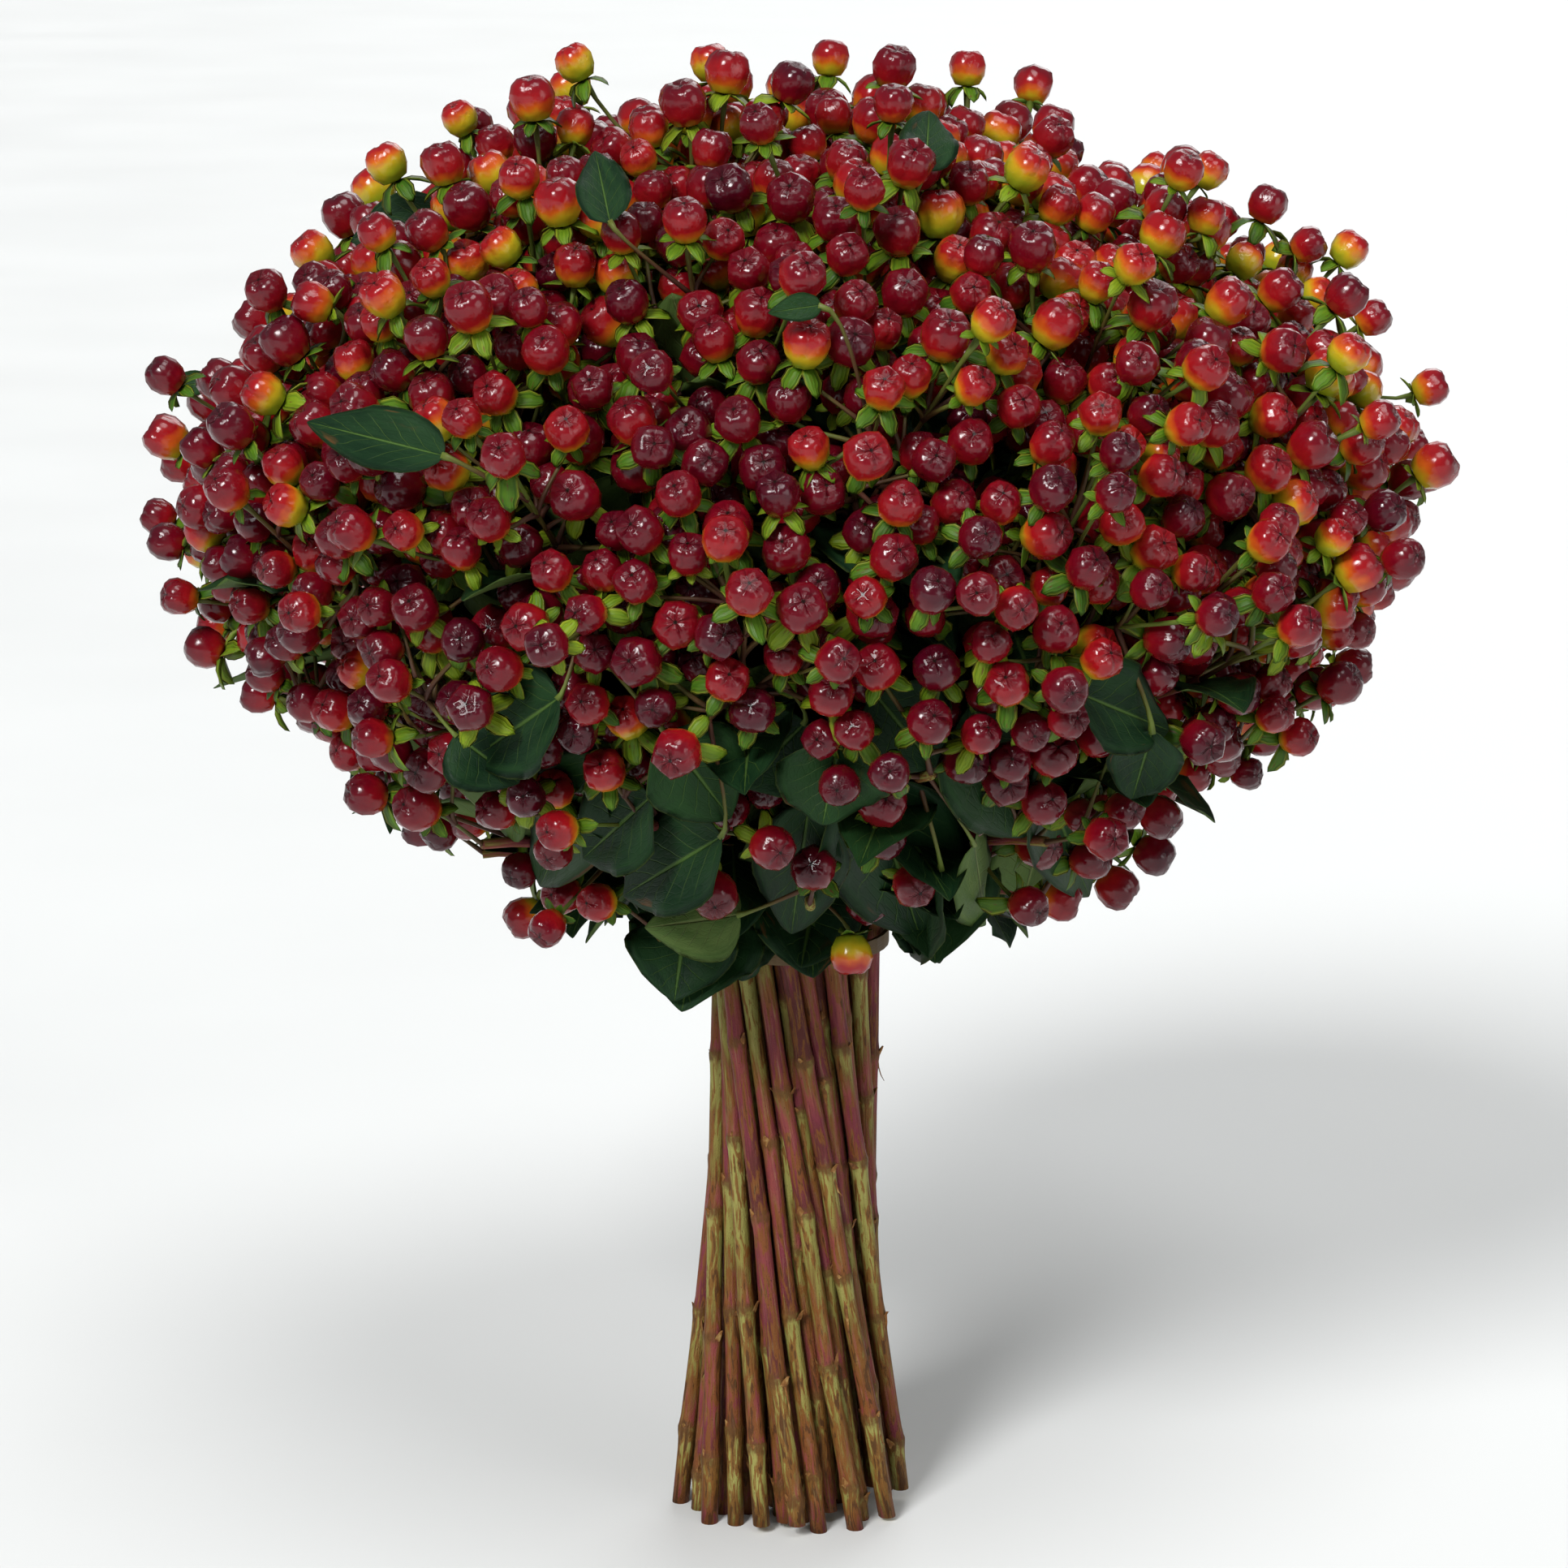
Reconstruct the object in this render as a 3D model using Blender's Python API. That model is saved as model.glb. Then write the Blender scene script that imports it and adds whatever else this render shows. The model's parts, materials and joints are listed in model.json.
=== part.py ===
"""A bunch of hypericum berry stems, spiral-tied and standing on its cut ends.

Each leafy stem is one object: a woody stem with its side twigs, leaves and berries grown on it.
A thin elastic tie holds the stems together under the foliage. Units are metres, +Z is up,
and the origin is the centre of the middle stem's cut end, on the surface that the bunch stands on.
"""

import math

import bmesh
import bpy
import numpy as np

# Driving dimensions of the whole bunch
STEM_COUNT = 59
HEAD_RADIUS = 0.213
SHOULDER_Z = 0.350
CROWN_HEIGHT = 0.143
UNDERSIDE_DEPTH = 0.165
UNDERSIDE_POWER = 1.25
HEAD_END = 2.62
FACING_Z = 0.260

# The spiral of straight stems: narrowest at the waist, wider at the foot
WAIST_Z = 0.165
WAIST_RADIUS = 0.0266
SPIRAL_RATE = 6.6
TIE_Z = 0.199
STRAIGHT_END_Z = 0.203
HEAD_TWIST = math.radians(-38)
GOLDEN_ANGLE = math.pi * (3 - math.sqrt(5))

# Stems and twigs
STEM_GAP = 0.00024
STEM_RADIUS_MAX = 0.0029
STEM_KNOTS = ((0, 1 / 3, 1), (0, 1 / 3, 2 / 3, 1))
OUTER_STEMS = 0.5 * STEM_COUNT
FOOT_SWELL = 1.06
FORK_SHARE = 0.80
FOOT_LIFT = (-0.006, 0.006)
FORK_DIAMETER = 0.0032
STEM_RISE = 0.80
STEM_LEAN_OUT = 0.60
TWIG_RADII = (0.0014, 0.0012)
TWIG_STEP_BACK = 0.45
TWIG_ROOM_ABOVE_TIE = 0.010
TWIG_SPACING = 0.0045

# Berries, each with its ring of sepals
SIDE_BERRY_COUNT = 148
BERRY_TRIES = 80
BERRY_ROOM = 0.0012
BERRY_PHASE = 0.9
BERRY_DIAMETERS = (0.0120, 0.0152)
BERRY_LENGTH = 1.06
BERRY_DEPTHS = (-0.006, 0.012)
BERRY_SCATTER = 0.0075
BERRY_TURN_OUT = 0.55
BERRY_NOD = 0.22
SEPAL_REACH = 0.0084
SEPAL_THICKNESS = 0.0015
SEPAL_CURL = 0.0020

# Leaves
LEAF_THICKNESS = 0.0009
LEAF_FOLD = math.radians(14)
LEAF_WAVE = 0.05
LEAF_WIDTHS = (0.58, 0.68)
LEAF_DROOPS = (0.06, 0.2)
LEAF_TRIES = 220
COLLAR_STEMS = 0.56 * STEM_COUNT
COLLAR_LEAF = {"stretch": 0.040, "turn": 0.7, "rise": (-82, -42), "length": (0.058, 0.076)}
OUTER_LEAF = {"stretch": 0.500, "turn": 0.9, "rise": (-45, 30), "length": (0.046, 0.066)}
INNER_LEAF = {"stretch": 0.500, "turn": 0.9, "rise": (5, 75), "length": (0.038, 0.058)}
COLLAR_Z = 0.176
COLLAR_RADIUS = 0.047
COLLAR_SLOPE = 1.45
LEAF_ROOM = 0.0032
LEAF_ROOM_AMONG = 0.0050
CROWD_REACH = 0.016

# The elastic tie
TIE_HEIGHT = 0.0050
TIE_THICKNESS = 0.0014
TIE_SIDES = 36
TIE_GAP = 0.0002

SEED = 52


def head_outline(turn):
    """(radius, height) of the head's outline, where turn runs from 0 at the crown towards pi beneath."""
    side = math.sin(turn)
    rise = math.cos(turn)
    if rise >= 0:
        return HEAD_RADIUS * side, SHOULDER_Z + CROWN_HEIGHT * rise
    low = UNDERSIDE_DEPTH * (-rise) ** UNDERSIDE_POWER
    return HEAD_RADIUS * side**UNDERSIDE_POWER, SHOULDER_Z - low


def around(radius, azimuth, height):
    """A point from its distance to the axis, its azimuth and its height."""
    return np.array([radius * math.cos(azimuth), radius * math.sin(azimuth), height])


def unit(vector):
    return vector / np.linalg.norm(vector)


def facing(point):
    """The way outwards from the middle of the head."""
    return unit(point - np.array([0, 0, FACING_Z]))


def head_shares():
    """The turn of the head's outline at which each share of its area is reached."""
    turns = np.linspace(0, HEAD_END, 240)
    outline = np.array([head_outline(turn) for turn in turns])
    steps = np.linalg.norm(np.diff(outline, axis=0), axis=1)
    bands = steps * (outline[1:, 0] + outline[:-1, 0])
    shares = np.concatenate([[0], np.cumsum(bands)])
    return shares / shares[-1], turns


AREA_SHARES, AREA_TURNS = head_shares()
OUTLINE_RADII, OUTLINE_HEIGHTS = np.array([head_outline(turn) for turn in AREA_TURNS[::-1]]).T


def head_point(share, azimuth):
    """The point of the head's outline that has this share of its area above it."""
    turn = float(np.interp(share, AREA_SHARES, AREA_TURNS))
    radius, height = head_outline(turn)
    return around(radius, azimuth, height)


def spiral_point(radius, azimuth, height):
    """A point of a straight stem that passes the waist at this radius and azimuth."""
    slide = SPIRAL_RATE * (height - WAIST_Z)
    return around(radius * math.hypot(1, slide), azimuth - math.atan(slide), height)


def stem_seats():
    """Radius and azimuth at the waist of each stem, by the sunflower rule, the middle one on the axis."""
    numbers = np.arange(STEM_COUNT)
    radii = WAIST_RADIUS * np.sqrt(numbers / (STEM_COUNT - 1))
    return list(zip(radii, numbers * GOLDEN_ANGLE))


def stem_radii(seats):
    """Each stem reaches halfway to its nearest neighbour, then grows until it just misses one."""
    places = np.array([around(radius, azimuth, 0) for radius, azimuth in seats])
    apart = np.linalg.norm(places[:, None] - places[None], axis=2) - STEM_GAP
    np.fill_diagonal(apart, 1)
    radii = apart.min(axis=1) / 2
    for number in range(STEM_COUNT):
        radii[number] = min((apart[number] - radii).min(), STEM_RADIUS_MAX)
    return radii


def curve_between(start, start_pull, end, end_pull, share):
    """A point of the smooth curve that leaves start along start_pull and arrives at end along end_pull."""
    s2, s3 = share**2, share**3
    near = 2 * s3 - 3 * s2 + 1
    return near * start + (1 - near) * end + (s3 - 2 * s2 + share) * start_pull + (s3 - s2) * end_pull


def stem_target(number, azimuth):
    """The place on the head that a stem grows towards."""
    return head_point((number + 0.5) / STEM_COUNT, azimuth + HEAD_TWIST)


def stem_route(number, seat):
    """Points of a stem's axis from the foot to the fork: straight to the tie, then curving outwards."""
    radius, azimuth = seat
    foot = spiral_point(radius, azimuth, -0.004)
    tie = spiral_point(radius, azimuth, STRAIGHT_END_Z)
    target = stem_target(number, azimuth)
    middle = np.array([0, 0, STRAIGHT_END_Z])
    fork = middle + FORK_SHARE * (target - middle)
    reach = np.linalg.norm(fork - tie)
    start_pull = unit(tie - foot) * reach * STEM_RISE
    end_pull = facing(target) * reach * STEM_LEAN_OUT
    knots = STEM_KNOTS[number > OUTER_STEMS]
    upper = [curve_between(tie, start_pull, fork, end_pull, knot) for knot in knots]
    return np.array([foot] + upper)


def along(route, distances):
    """Points at these distances along a route."""
    steps = np.linalg.norm(np.diff(route, axis=0), axis=1)
    marks = np.concatenate([[0], np.cumsum(steps)])
    return np.array([np.interp(distances, marks, route[:, axis]) for axis in range(3)]).T


def route_length(route):
    return float(np.linalg.norm(np.diff(route, axis=0), axis=1).sum())


def twig_room(route):
    """The stretch of a stem, as two distances along it, on which twigs may start."""
    return route_length(route[:2]) + TWIG_ROOM_ABOVE_TIE, route_length(route) - 0.004


def nearest_stem(point, routes):
    """(stem, distance along it, distance from it) of the stem whose upper part passes nearest."""
    best = None
    for number, route in enumerate(routes):
        marks = np.linspace(*twig_room(route), 24)
        gaps = np.linalg.norm(along(route, marks) - point, axis=1)
        place = int(gaps.argmin())
        if best is None or gaps[place] < best[2]:
            best = (number, float(marks[place]), float(gaps[place]))
    return best


def berry_base(fruit):
    """Where the sepals and the twig meet the berry."""
    return fruit["centre"] - fruit["nod"] * fruit["diameter"] * 0.42


def draw_fruit(random, outline, routes, scatter, tip_stem=None):
    """A berry near a place on the head, with the stem that bears it and its twig's start there."""
    outwards = facing(outline)
    shift = random.uniform(-BERRY_SCATTER, BERRY_SCATTER, 3) * scatter
    diameter = random.uniform(*BERRY_DIAMETERS)
    depth = random.uniform(*BERRY_DEPTHS) + diameter / 2
    centre = outline + shift - outwards * (shift @ outwards + depth)
    if tip_stem is None:
        stem, mark, gap = nearest_stem(centre - outwards * diameter / 2, routes)
        low, high = twig_room(routes[stem])
        mark = min(max(mark - TWIG_STEP_BACK * gap + random.uniform(-0.012, 0.008), low), high)
    else:
        stem = tip_stem
        mark = route_length(routes[stem]) - 0.001
    start = along(routes[stem], [mark])[0]
    nod = unit(BERRY_TURN_OUT * outwards + unit(centre - start) + random.uniform(-BERRY_NOD, BERRY_NOD, 3))
    return {"stem": stem, "mark": mark, "start": start, "centre": centre, "diameter": diameter, "nod": nod}


class Leaf:
    """A leaf blade: a pointed oval that droops along its length and folds up from its midrib."""

    def __init__(self, base, ahead, up, length, width, droop, phase):
        self.base = base
        self.ahead = ahead
        self.across = unit(np.cross(up, ahead))
        self.up = np.cross(ahead, self.across)
        self.length = length
        self.width = width
        self.droop = droop
        self.phase = phase

    def point(self, share, side):
        """The blade at a share of its length and a side from -1 to 1."""
        half = self.width / 2 * math.sin(math.pi * min(max(share, 0), 1) ** 0.72) ** 0.9
        wave = LEAF_WAVE * self.width * math.sin(9 * share + self.phase + side) * side**2
        rise = half * abs(side) * math.sin(LEAF_FOLD) + wave - self.droop * share**2
        reach = self.length * share
        out = half * side * math.cos(LEAF_FOLD)
        return self.base + self.ahead * reach + self.across * out + self.up * rise

    def samples(self):
        """Points spread over the blade, used to keep it clear of what is near."""
        rows = [(share, side) for share in np.linspace(0.14, 1, 12) for side in (-1, -0.6, -0.2, 0.2, 0.6, 1)]
        return np.array([self.point(share, side) for share, side in rows])


def draw_leaf(random, stem, route, in_collar):
    """A leaf drawn at random on one stem: hanging over the neck in the collar, or standing in the head."""
    low, high = twig_room(route)
    kind = COLLAR_LEAF if in_collar else OUTER_LEAF if stem > OUTER_STEMS else INNER_LEAF
    mark = random.uniform(low - 0.004, min(low + kind["stretch"], high))
    base = along(route, [mark])[0]
    away = math.atan2(base[1], base[0]) + random.uniform(-kind["turn"], kind["turn"])
    rise = math.radians(random.uniform(*kind["rise"]))
    length = random.uniform(*kind["length"])
    ahead = around(math.cos(rise), away, math.sin(rise))
    side = unit(np.cross([0, 0, 1], ahead))
    up = unit(np.cross(ahead, side)) + random.uniform(-0.4, 0.4) * side
    width = length * random.uniform(*LEAF_WIDTHS)
    return Leaf(base, ahead, up, length, width, length * random.uniform(*LEAF_DROOPS), random.uniform(0, 6))


def within_head(points):
    """Whether every point lies inside the head's outline, or in the collar of leaves round the neck."""
    heights = points[:, 2]
    outline = np.interp(heights, OUTLINE_HEIGHTS, OUTLINE_RADII)
    collar = COLLAR_RADIUS + COLLAR_SLOPE * (heights - COLLAR_Z)
    reach = np.maximum(outline, np.where(heights < SHOULDER_Z, collar, 0))
    return bool((np.hypot(points[:, 0], points[:, 1]) < reach).all() and heights.min() > COLLAR_Z)


class Crowd:
    """Everything placed so far, as points with a radius, each owned by a stem."""

    def __init__(self):
        self.points = np.empty((0, 3))
        self.radii = np.empty(0)
        self.owners = np.empty(0, int)

    def add(self, points, radii, owner):
        count = len(points)
        self.points = np.vstack([self.points, points])
        self.radii = np.concatenate([self.radii, np.broadcast_to(radii, count)])
        self.owners = np.concatenate([self.owners, np.full(count, owner)])

    def is_clear(self, points, radii, but_for=None):
        """Whether spheres at these points miss all that was placed before, but for one stem's own."""
        low, high = points.min(axis=0) - CROWD_REACH, points.max(axis=0) + CROWD_REACH
        near = ((self.points > low) & (self.points < high)).all(axis=1)
        if but_for is not None:
            near &= self.owners != but_for
        gaps = np.linalg.norm(points[:, None] - self.points[near][None], axis=2)
        gaps -= self.radii[near][None] + np.broadcast_to(radii, len(points))[:, None]
        return gaps.size == 0 or gaps.min() > 0


def twig_spheres(berry):
    """Spheres along a twig, short of its sepals."""
    length = np.linalg.norm(berry_base(berry) - berry["start"])
    share = max(1 - SEPAL_REACH / length, 0.1)
    marks = np.linspace(0, share, 12)[:, None]
    return berry["start"] + (berry_base(berry) - berry["start"]) * marks


def head_spheres(berry):
    """Spheres over a berry and its sepals, with their radii."""
    half = berry["diameter"] / 2
    sepals = berry_base(berry) - berry["nod"] * 0.001
    points = np.array([sepals, berry["centre"], berry["centre"] + berry["nod"] * half * 0.3])
    return points, np.array([SEPAL_REACH * 0.92, half * 1.03, half * 0.9])


def seat_stems(routes, radii):
    """A crowd that holds the woody stems alone."""
    crowd = Crowd()
    for number, route in enumerate(routes):
        marks = np.arange(route_length(route[:2]) - 0.035, route_length(route), 0.003)
        crowd.add(along(route, marks), radii[number], number)
    return crowd


def place_fruit(crowd, seats, routes):
    """Seats one berry at the tip of each stem, then the side berries evenly over the head between them."""
    random = np.random.RandomState(SEED)
    wishes = [(stem_target(number, azimuth), number) for number, (_, azimuth) in enumerate(seats)]
    for number in range(SIDE_BERRY_COUNT):
        share = (number + 0.5) / SIDE_BERRY_COUNT
        wishes.append((head_point(share, number * GOLDEN_ANGLE + BERRY_PHASE), None))
    fruit = []
    marks = [[] for _ in routes]
    for outline, tip_stem in wishes:
        for attempt in range(BERRY_TRIES):
            berry = draw_fruit(random, outline, routes, 1 + 2.5 * attempt / BERRY_TRIES, tip_stem)
            stem, twig = berry["stem"], twig_spheres(berry)
            points, radii = head_spheres(berry)
            if any(abs(berry["mark"] - other) < TWIG_SPACING for other in marks[stem]):
                continue
            if not crowd.is_clear(points, radii + BERRY_ROOM):
                continue
            if not crowd.is_clear(twig[:5], TWIG_RADII[0] + BERRY_ROOM, but_for=stem):
                continue
            if not crowd.is_clear(twig[5:], TWIG_RADII[0] + BERRY_ROOM):
                continue
            crowd.add(points, radii, stem)
            crowd.add(twig, TWIG_RADII[0], stem)
            marks[stem].append(berry["mark"])
            fruit.append(berry)
            break
    return fruit


def place_leaves(crowd, routes):
    """Seats leaves on the stems, outermost stems first, each at a draw that is clear of all the rest."""
    random = np.random.RandomState(SEED + 1)
    leaves = []
    inwards = list(reversed(range(STEM_COUNT)))
    turns = [(stem, True) for stem in inwards if stem > COLLAR_STEMS]
    turns += [(stem, False) for stem in inwards]
    turns += [(stem, False) for stem in inwards if stem > OUTER_STEMS][:16]
    for stem, in_collar in turns:
        for _ in range(LEAF_TRIES):
            leaf = draw_leaf(random, stem, routes[stem], in_collar)
            points = leaf.samples()
            if not within_head(points):
                continue
            near, far = points[:12], points[12:]
            if crowd.is_clear(near, LEAF_ROOM, but_for=stem) and crowd.is_clear(far, LEAF_ROOM):
                crowd.add(points, LEAF_ROOM_AMONG - LEAF_ROOM, stem)
                leaves.append((stem, leaf))
                break
    return leaves


def finish(name, colour, roughness):
    """A material: a Principled BSDF with the part's own colour."""
    material = bpy.data.materials.new(name)
    material.use_nodes = True
    shader = material.node_tree.nodes["Principled BSDF"]
    shader.inputs["Base Color"].default_value = (*colour, 1)
    shader.inputs["Roughness"].default_value = roughness
    material.diffuse_color = (*colour, 1)
    return material


def as_object(name, mesh, collection, material):
    built = bpy.data.objects.new(name, mesh)
    mesh.materials.append(material)
    collection.objects.link(built)
    return built


def mesh_of(name, shape):
    """Turns a bmesh into a mesh with its faces pointing out."""
    shape.normal_update()
    bmesh.ops.recalc_face_normals(shape, faces=shape.faces)
    mesh = bpy.data.meshes.new(name)
    shape.to_mesh(mesh)
    shape.free()
    return mesh


def woody_stem(name, route, radius, cut_height, collection, material):
    """The stem as a tapering bevelled curve, cut off flat at the foot."""
    line = bpy.data.curves.new(name, "CURVE")
    line.dimensions = "3D"
    line.bevel_depth = 1.0
    line.bevel_resolution = 1
    line.use_fill_caps = True
    spline = line.splines.new("POLY")
    spline.points.add(len(route) - 1)
    top = len(route) - 1
    for number, (knot, place) in enumerate(zip(spline.points, route)):
        knot.co = (*place, 1)
        thick = radius * FOOT_SWELL if number == 0 else radius
        taper = max(number - 1, 0) / (top - 1)
        knot.radius = thick + (FORK_DIAMETER / 2 - thick) * taper
    guide = bpy.data.objects.new(name, line)
    collection.objects.link(guide)
    graph = bpy.context.evaluated_depsgraph_get()
    mesh = bpy.data.meshes.new_from_object(guide.evaluated_get(graph))
    bpy.data.objects.remove(guide)
    shape = bmesh.new()
    shape.from_mesh(mesh)
    bmesh.ops.remove_doubles(shape, verts=shape.verts, dist=1e-6)
    every = shape.verts[:] + shape.edges[:] + shape.faces[:]
    cut_place = (0, 0, cut_height)
    cut = bmesh.ops.bisect_plane(shape, geom=every, plane_co=cut_place, plane_no=(0, 0, 1), clear_inner=True)
    rim = [item for item in cut["geom_cut"] if isinstance(item, bmesh.types.BMEdge)]
    bmesh.ops.contextual_create(shape, geom=rim)
    bpy.data.meshes.remove(mesh)
    return as_object(name, mesh_of(name, shape), collection, material)


def ring(shape, centre, ahead, radius, turn, start=(1, 0, 0)):
    """Three new corners round a line, the first one turned from the start direction."""
    right = unit(np.cross(ahead, start))
    front = np.cross(right, ahead)
    angles = [turn + number * 2 * math.pi / 3 for number in range(3)]
    offsets = [front * math.cos(angle) + right * math.sin(angle) for angle in angles]
    return [shape.verts.new(centre + offset * radius) for offset in offsets]


def band(shape, first, second):
    """Quads between two rings of three, each split into two triangles."""
    for number in range(3):
        after = (number + 1) % 3
        shape.faces.new((first[number], first[after], second[number]))
        shape.faces.new((first[after], second[after], second[number]))


def fruit_body(name, fruit, collection, materials):
    """A twig with its three sepals and its twenty-faced berry, as one closed body from ring to ring."""
    centre, nod, half = fruit["centre"], fruit["nod"], fruit["diameter"] / 2
    tall = half * BERRY_LENGTH
    ahead = unit(berry_base(fruit) - fruit["start"])
    sideways = unit(np.cross(nod, [0.3, 0.5, 0.8]))
    shape = bmesh.new()
    foot = ring(shape, fruit["start"], ahead, TWIG_RADII[0], 0, sideways)
    neck_place = centre - nod * (0.7947 * tall + SEPAL_THICKNESS)
    neck = ring(shape, neck_place, nod, TWIG_RADII[1], 0, sideways)
    tips = ring(shape, neck_place - nod * SEPAL_CURL, nod, SEPAL_REACH, math.pi / 3, sideways)
    base = ring(shape, centre - nod * 0.7947 * tall, nod, 0.6071 * half, 0, sideways)
    lower = ring(shape, centre - nod * 0.1876 * tall, nod, 1.03 * half, math.pi / 3, sideways)
    upper = ring(shape, centre + nod * 0.1876 * tall, nod, 1.03 * half, 0, sideways)
    crown = ring(shape, centre + nod * 0.7947 * tall, nod, 0.6071 * half, math.pi / 3, sideways)
    shape.faces.new(foot)
    band(shape, foot, neck)
    woody = len(shape.faces)
    for number in range(3):
        after = (number + 1) % 3
        tip = tips[number]
        shape.faces.new((tip, base[number], base[after]))
        shape.faces.new((tip, neck[number], neck[after]))
        shape.faces.new((tip, base[number], neck[number]))
        shape.faces.new((tip, base[after], neck[after]))
    leafy = len(shape.faces)
    for number in range(3):
        after = (number + 1) % 3
        before = (number + 2) % 3
        shape.faces.new((base[number], base[after], lower[number]))
        shape.faces.new((base[number], lower[number], upper[number]))
        shape.faces.new((base[after], lower[number], upper[after]))
        shape.faces.new((lower[number], upper[number], crown[number]))
        shape.faces.new((lower[number], upper[after], crown[number]))
        shape.faces.new((upper[number], crown[number], crown[before]))
    shape.faces.new(crown)
    shape.faces.ensure_lookup_table()
    for number, face in enumerate(shape.faces):
        face.material_index = 0 if number < woody else 1 if number < leafy else 2
    body = as_object(name, mesh_of(name, shape), collection, materials["bark"])
    body.data.materials.append(materials["sepal"])
    body.data.materials.append(materials["berry"])
    return body


def leaf_blade(name, leaf, collection, material):
    """The leaf as a solid plate, its blade split into triangles alike on both faces."""
    shape = bmesh.new()
    stations = (0.34, 0.70)
    root = shape.verts.new(leaf.point(0, 0))
    rows = [[shape.verts.new(leaf.point(share, side)) for side in (-1, 0, 1)] for share in stations]
    tip = shape.verts.new(leaf.point(1, 0))
    first, last = rows[0], rows[-1]
    for side in (0, 1):
        shape.faces.new((root, first[side], first[side + 1]))
        shape.faces.new((first[side], last[side], last[side + 1]))
        shape.faces.new((first[side], last[side + 1], first[side + 1]))
        shape.faces.new((last[side], tip, last[side + 1]))
    bmesh.ops.recalc_face_normals(shape, faces=shape.faces)
    bmesh.ops.solidify(shape, geom=shape.faces[:], thickness=LEAF_THICKNESS)
    bmesh.ops.triangulate(shape, faces=shape.faces)
    return as_object(name, mesh_of(name, shape), collection, material)


def fuse(stem, grown, pieces):
    """Joins what has grown on a stem to it in one Boolean union, then removes the loose pieces."""
    join = stem.modifiers.new("grown_together", "BOOLEAN")
    join.operation = "UNION"
    join.solver = "MANIFOLD"
    join.material_mode = "TRANSFER"
    join.operand_type = "COLLECTION"
    join.collection = grown
    graph = bpy.context.evaluated_depsgraph_get()
    mesh = bpy.data.meshes.new_from_object(stem.evaluated_get(graph))
    stem.modifiers.clear()
    stem.data = mesh
    for piece in pieces:
        bpy.data.objects.remove(piece)
    bpy.data.collections.remove(grown)


def elastic_tie(collection, material, seats, radii):
    """The flat elastic band round the stems: a turned ring that just clears the outermost stem."""
    slide = math.hypot(1, SPIRAL_RATE * (TIE_Z + TIE_HEIGHT / 2 - WAIST_Z))
    reach = max(seat[0] * slide + radius for seat, radius in zip(seats, radii))
    inner = (reach + TIE_GAP) / math.cos(math.pi / TIE_SIDES)
    outer = inner + TIE_THICKNESS
    low, high = TIE_Z - TIE_HEIGHT / 2, TIE_Z + TIE_HEIGHT / 2
    corners = [(outer, high), (outer, low), (inner, low), (inner, high)]
    shape = bmesh.new()
    rim = [shape.verts.new((radius, 0, height)) for radius, height in corners]
    edges = [shape.edges.new((rim[k], rim[(k + 1) % 4])) for k in range(4)]
    bmesh.ops.spin(
        shape,
        geom=rim + edges,
        axis=(0, 0, 1),
        cent=(0, 0, 0),
        angle=2 * math.pi,
        steps=TIE_SIDES,
        use_merge=True,
    )
    bmesh.ops.remove_doubles(shape, verts=shape.verts, dist=1e-5)
    return as_object("elastic_tie", mesh_of("elastic_tie", shape), collection, material)


def foot_heights():
    """How far above the surface each stem is cut off, most of them not at all."""
    lifts = np.random.RandomState(SEED + 2).uniform(*FOOT_LIFT, STEM_COUNT)
    lifts[0] = 0
    return np.maximum(lifts, 0)


def build_stem(number, route, radius, fruit, leaves, collection, materials):
    """One leafy stem: the woody stem fused with its twigs, berries, sepals and leaves."""
    name = f"leafy_stem_{number:02d}"
    stem = woody_stem(name, route, radius, foot_heights()[number], collection, materials["bark"])
    grown = bpy.data.collections.new(f"grown_{number:02d}")
    bpy.context.scene.collection.children.link(grown)
    pieces = [fruit_body(f"fruit_{k}", berry, grown, materials) for k, berry in enumerate(fruit)]
    pieces += [leaf_blade(f"leaf_{k}", leaf, grown, materials["leaf"]) for k, leaf in enumerate(leaves)]
    fuse(stem, grown, pieces)
    stem.data.shade_smooth()
    stem.data.set_sharp_from_angle(angle=math.radians(50))
    return stem


def main():
    for old in list(bpy.data.objects):
        bpy.data.objects.remove(old)
    bunch = bpy.data.collections.new("hypericum_bunch")
    bpy.context.scene.collection.children.link(bunch)
    materials = {
        "bark": finish("bark", (0.30, 0.12, 0.09), 0.6),
        "berry": finish("berry", (0.33, 0.012, 0.025), 0.22),
        "sepal": finish("sepal", (0.17, 0.30, 0.04), 0.5),
        "leaf": finish("leaf", (0.022, 0.085, 0.035), 0.45),
    }
    seats = stem_seats()
    radii = stem_radii(seats)
    routes = [stem_route(number, seat) for number, seat in enumerate(seats)]
    crowd = seat_stems(routes, radii)
    fruit = place_fruit(crowd, seats, routes)
    leaves = place_leaves(crowd, routes)
    for number, route in enumerate(routes):
        own_fruit = [berry for berry in fruit if berry["stem"] == number]
        own_leaves = [leaf for stem, leaf in leaves if stem == number]
        build_stem(number, route, radii[number], own_fruit, own_leaves, bunch, materials)
    elastic_tie(bunch, finish("tie", (0.55, 0.46, 0.33), 0.7), seats, radii)
    print(len(fruit), "berries and", len(leaves), "leaves on", STEM_COUNT, "stems")


main()
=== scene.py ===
# %% [markdown]
# # A spiral-tied bunch of hypericum berry stems
#
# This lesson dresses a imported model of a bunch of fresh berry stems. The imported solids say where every
# stem, berry and leaf stands. Each is made again here with its real surface, in the same place, and what
# the plain solids leave out is grown between them.

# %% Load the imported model
import json
import math

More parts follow.
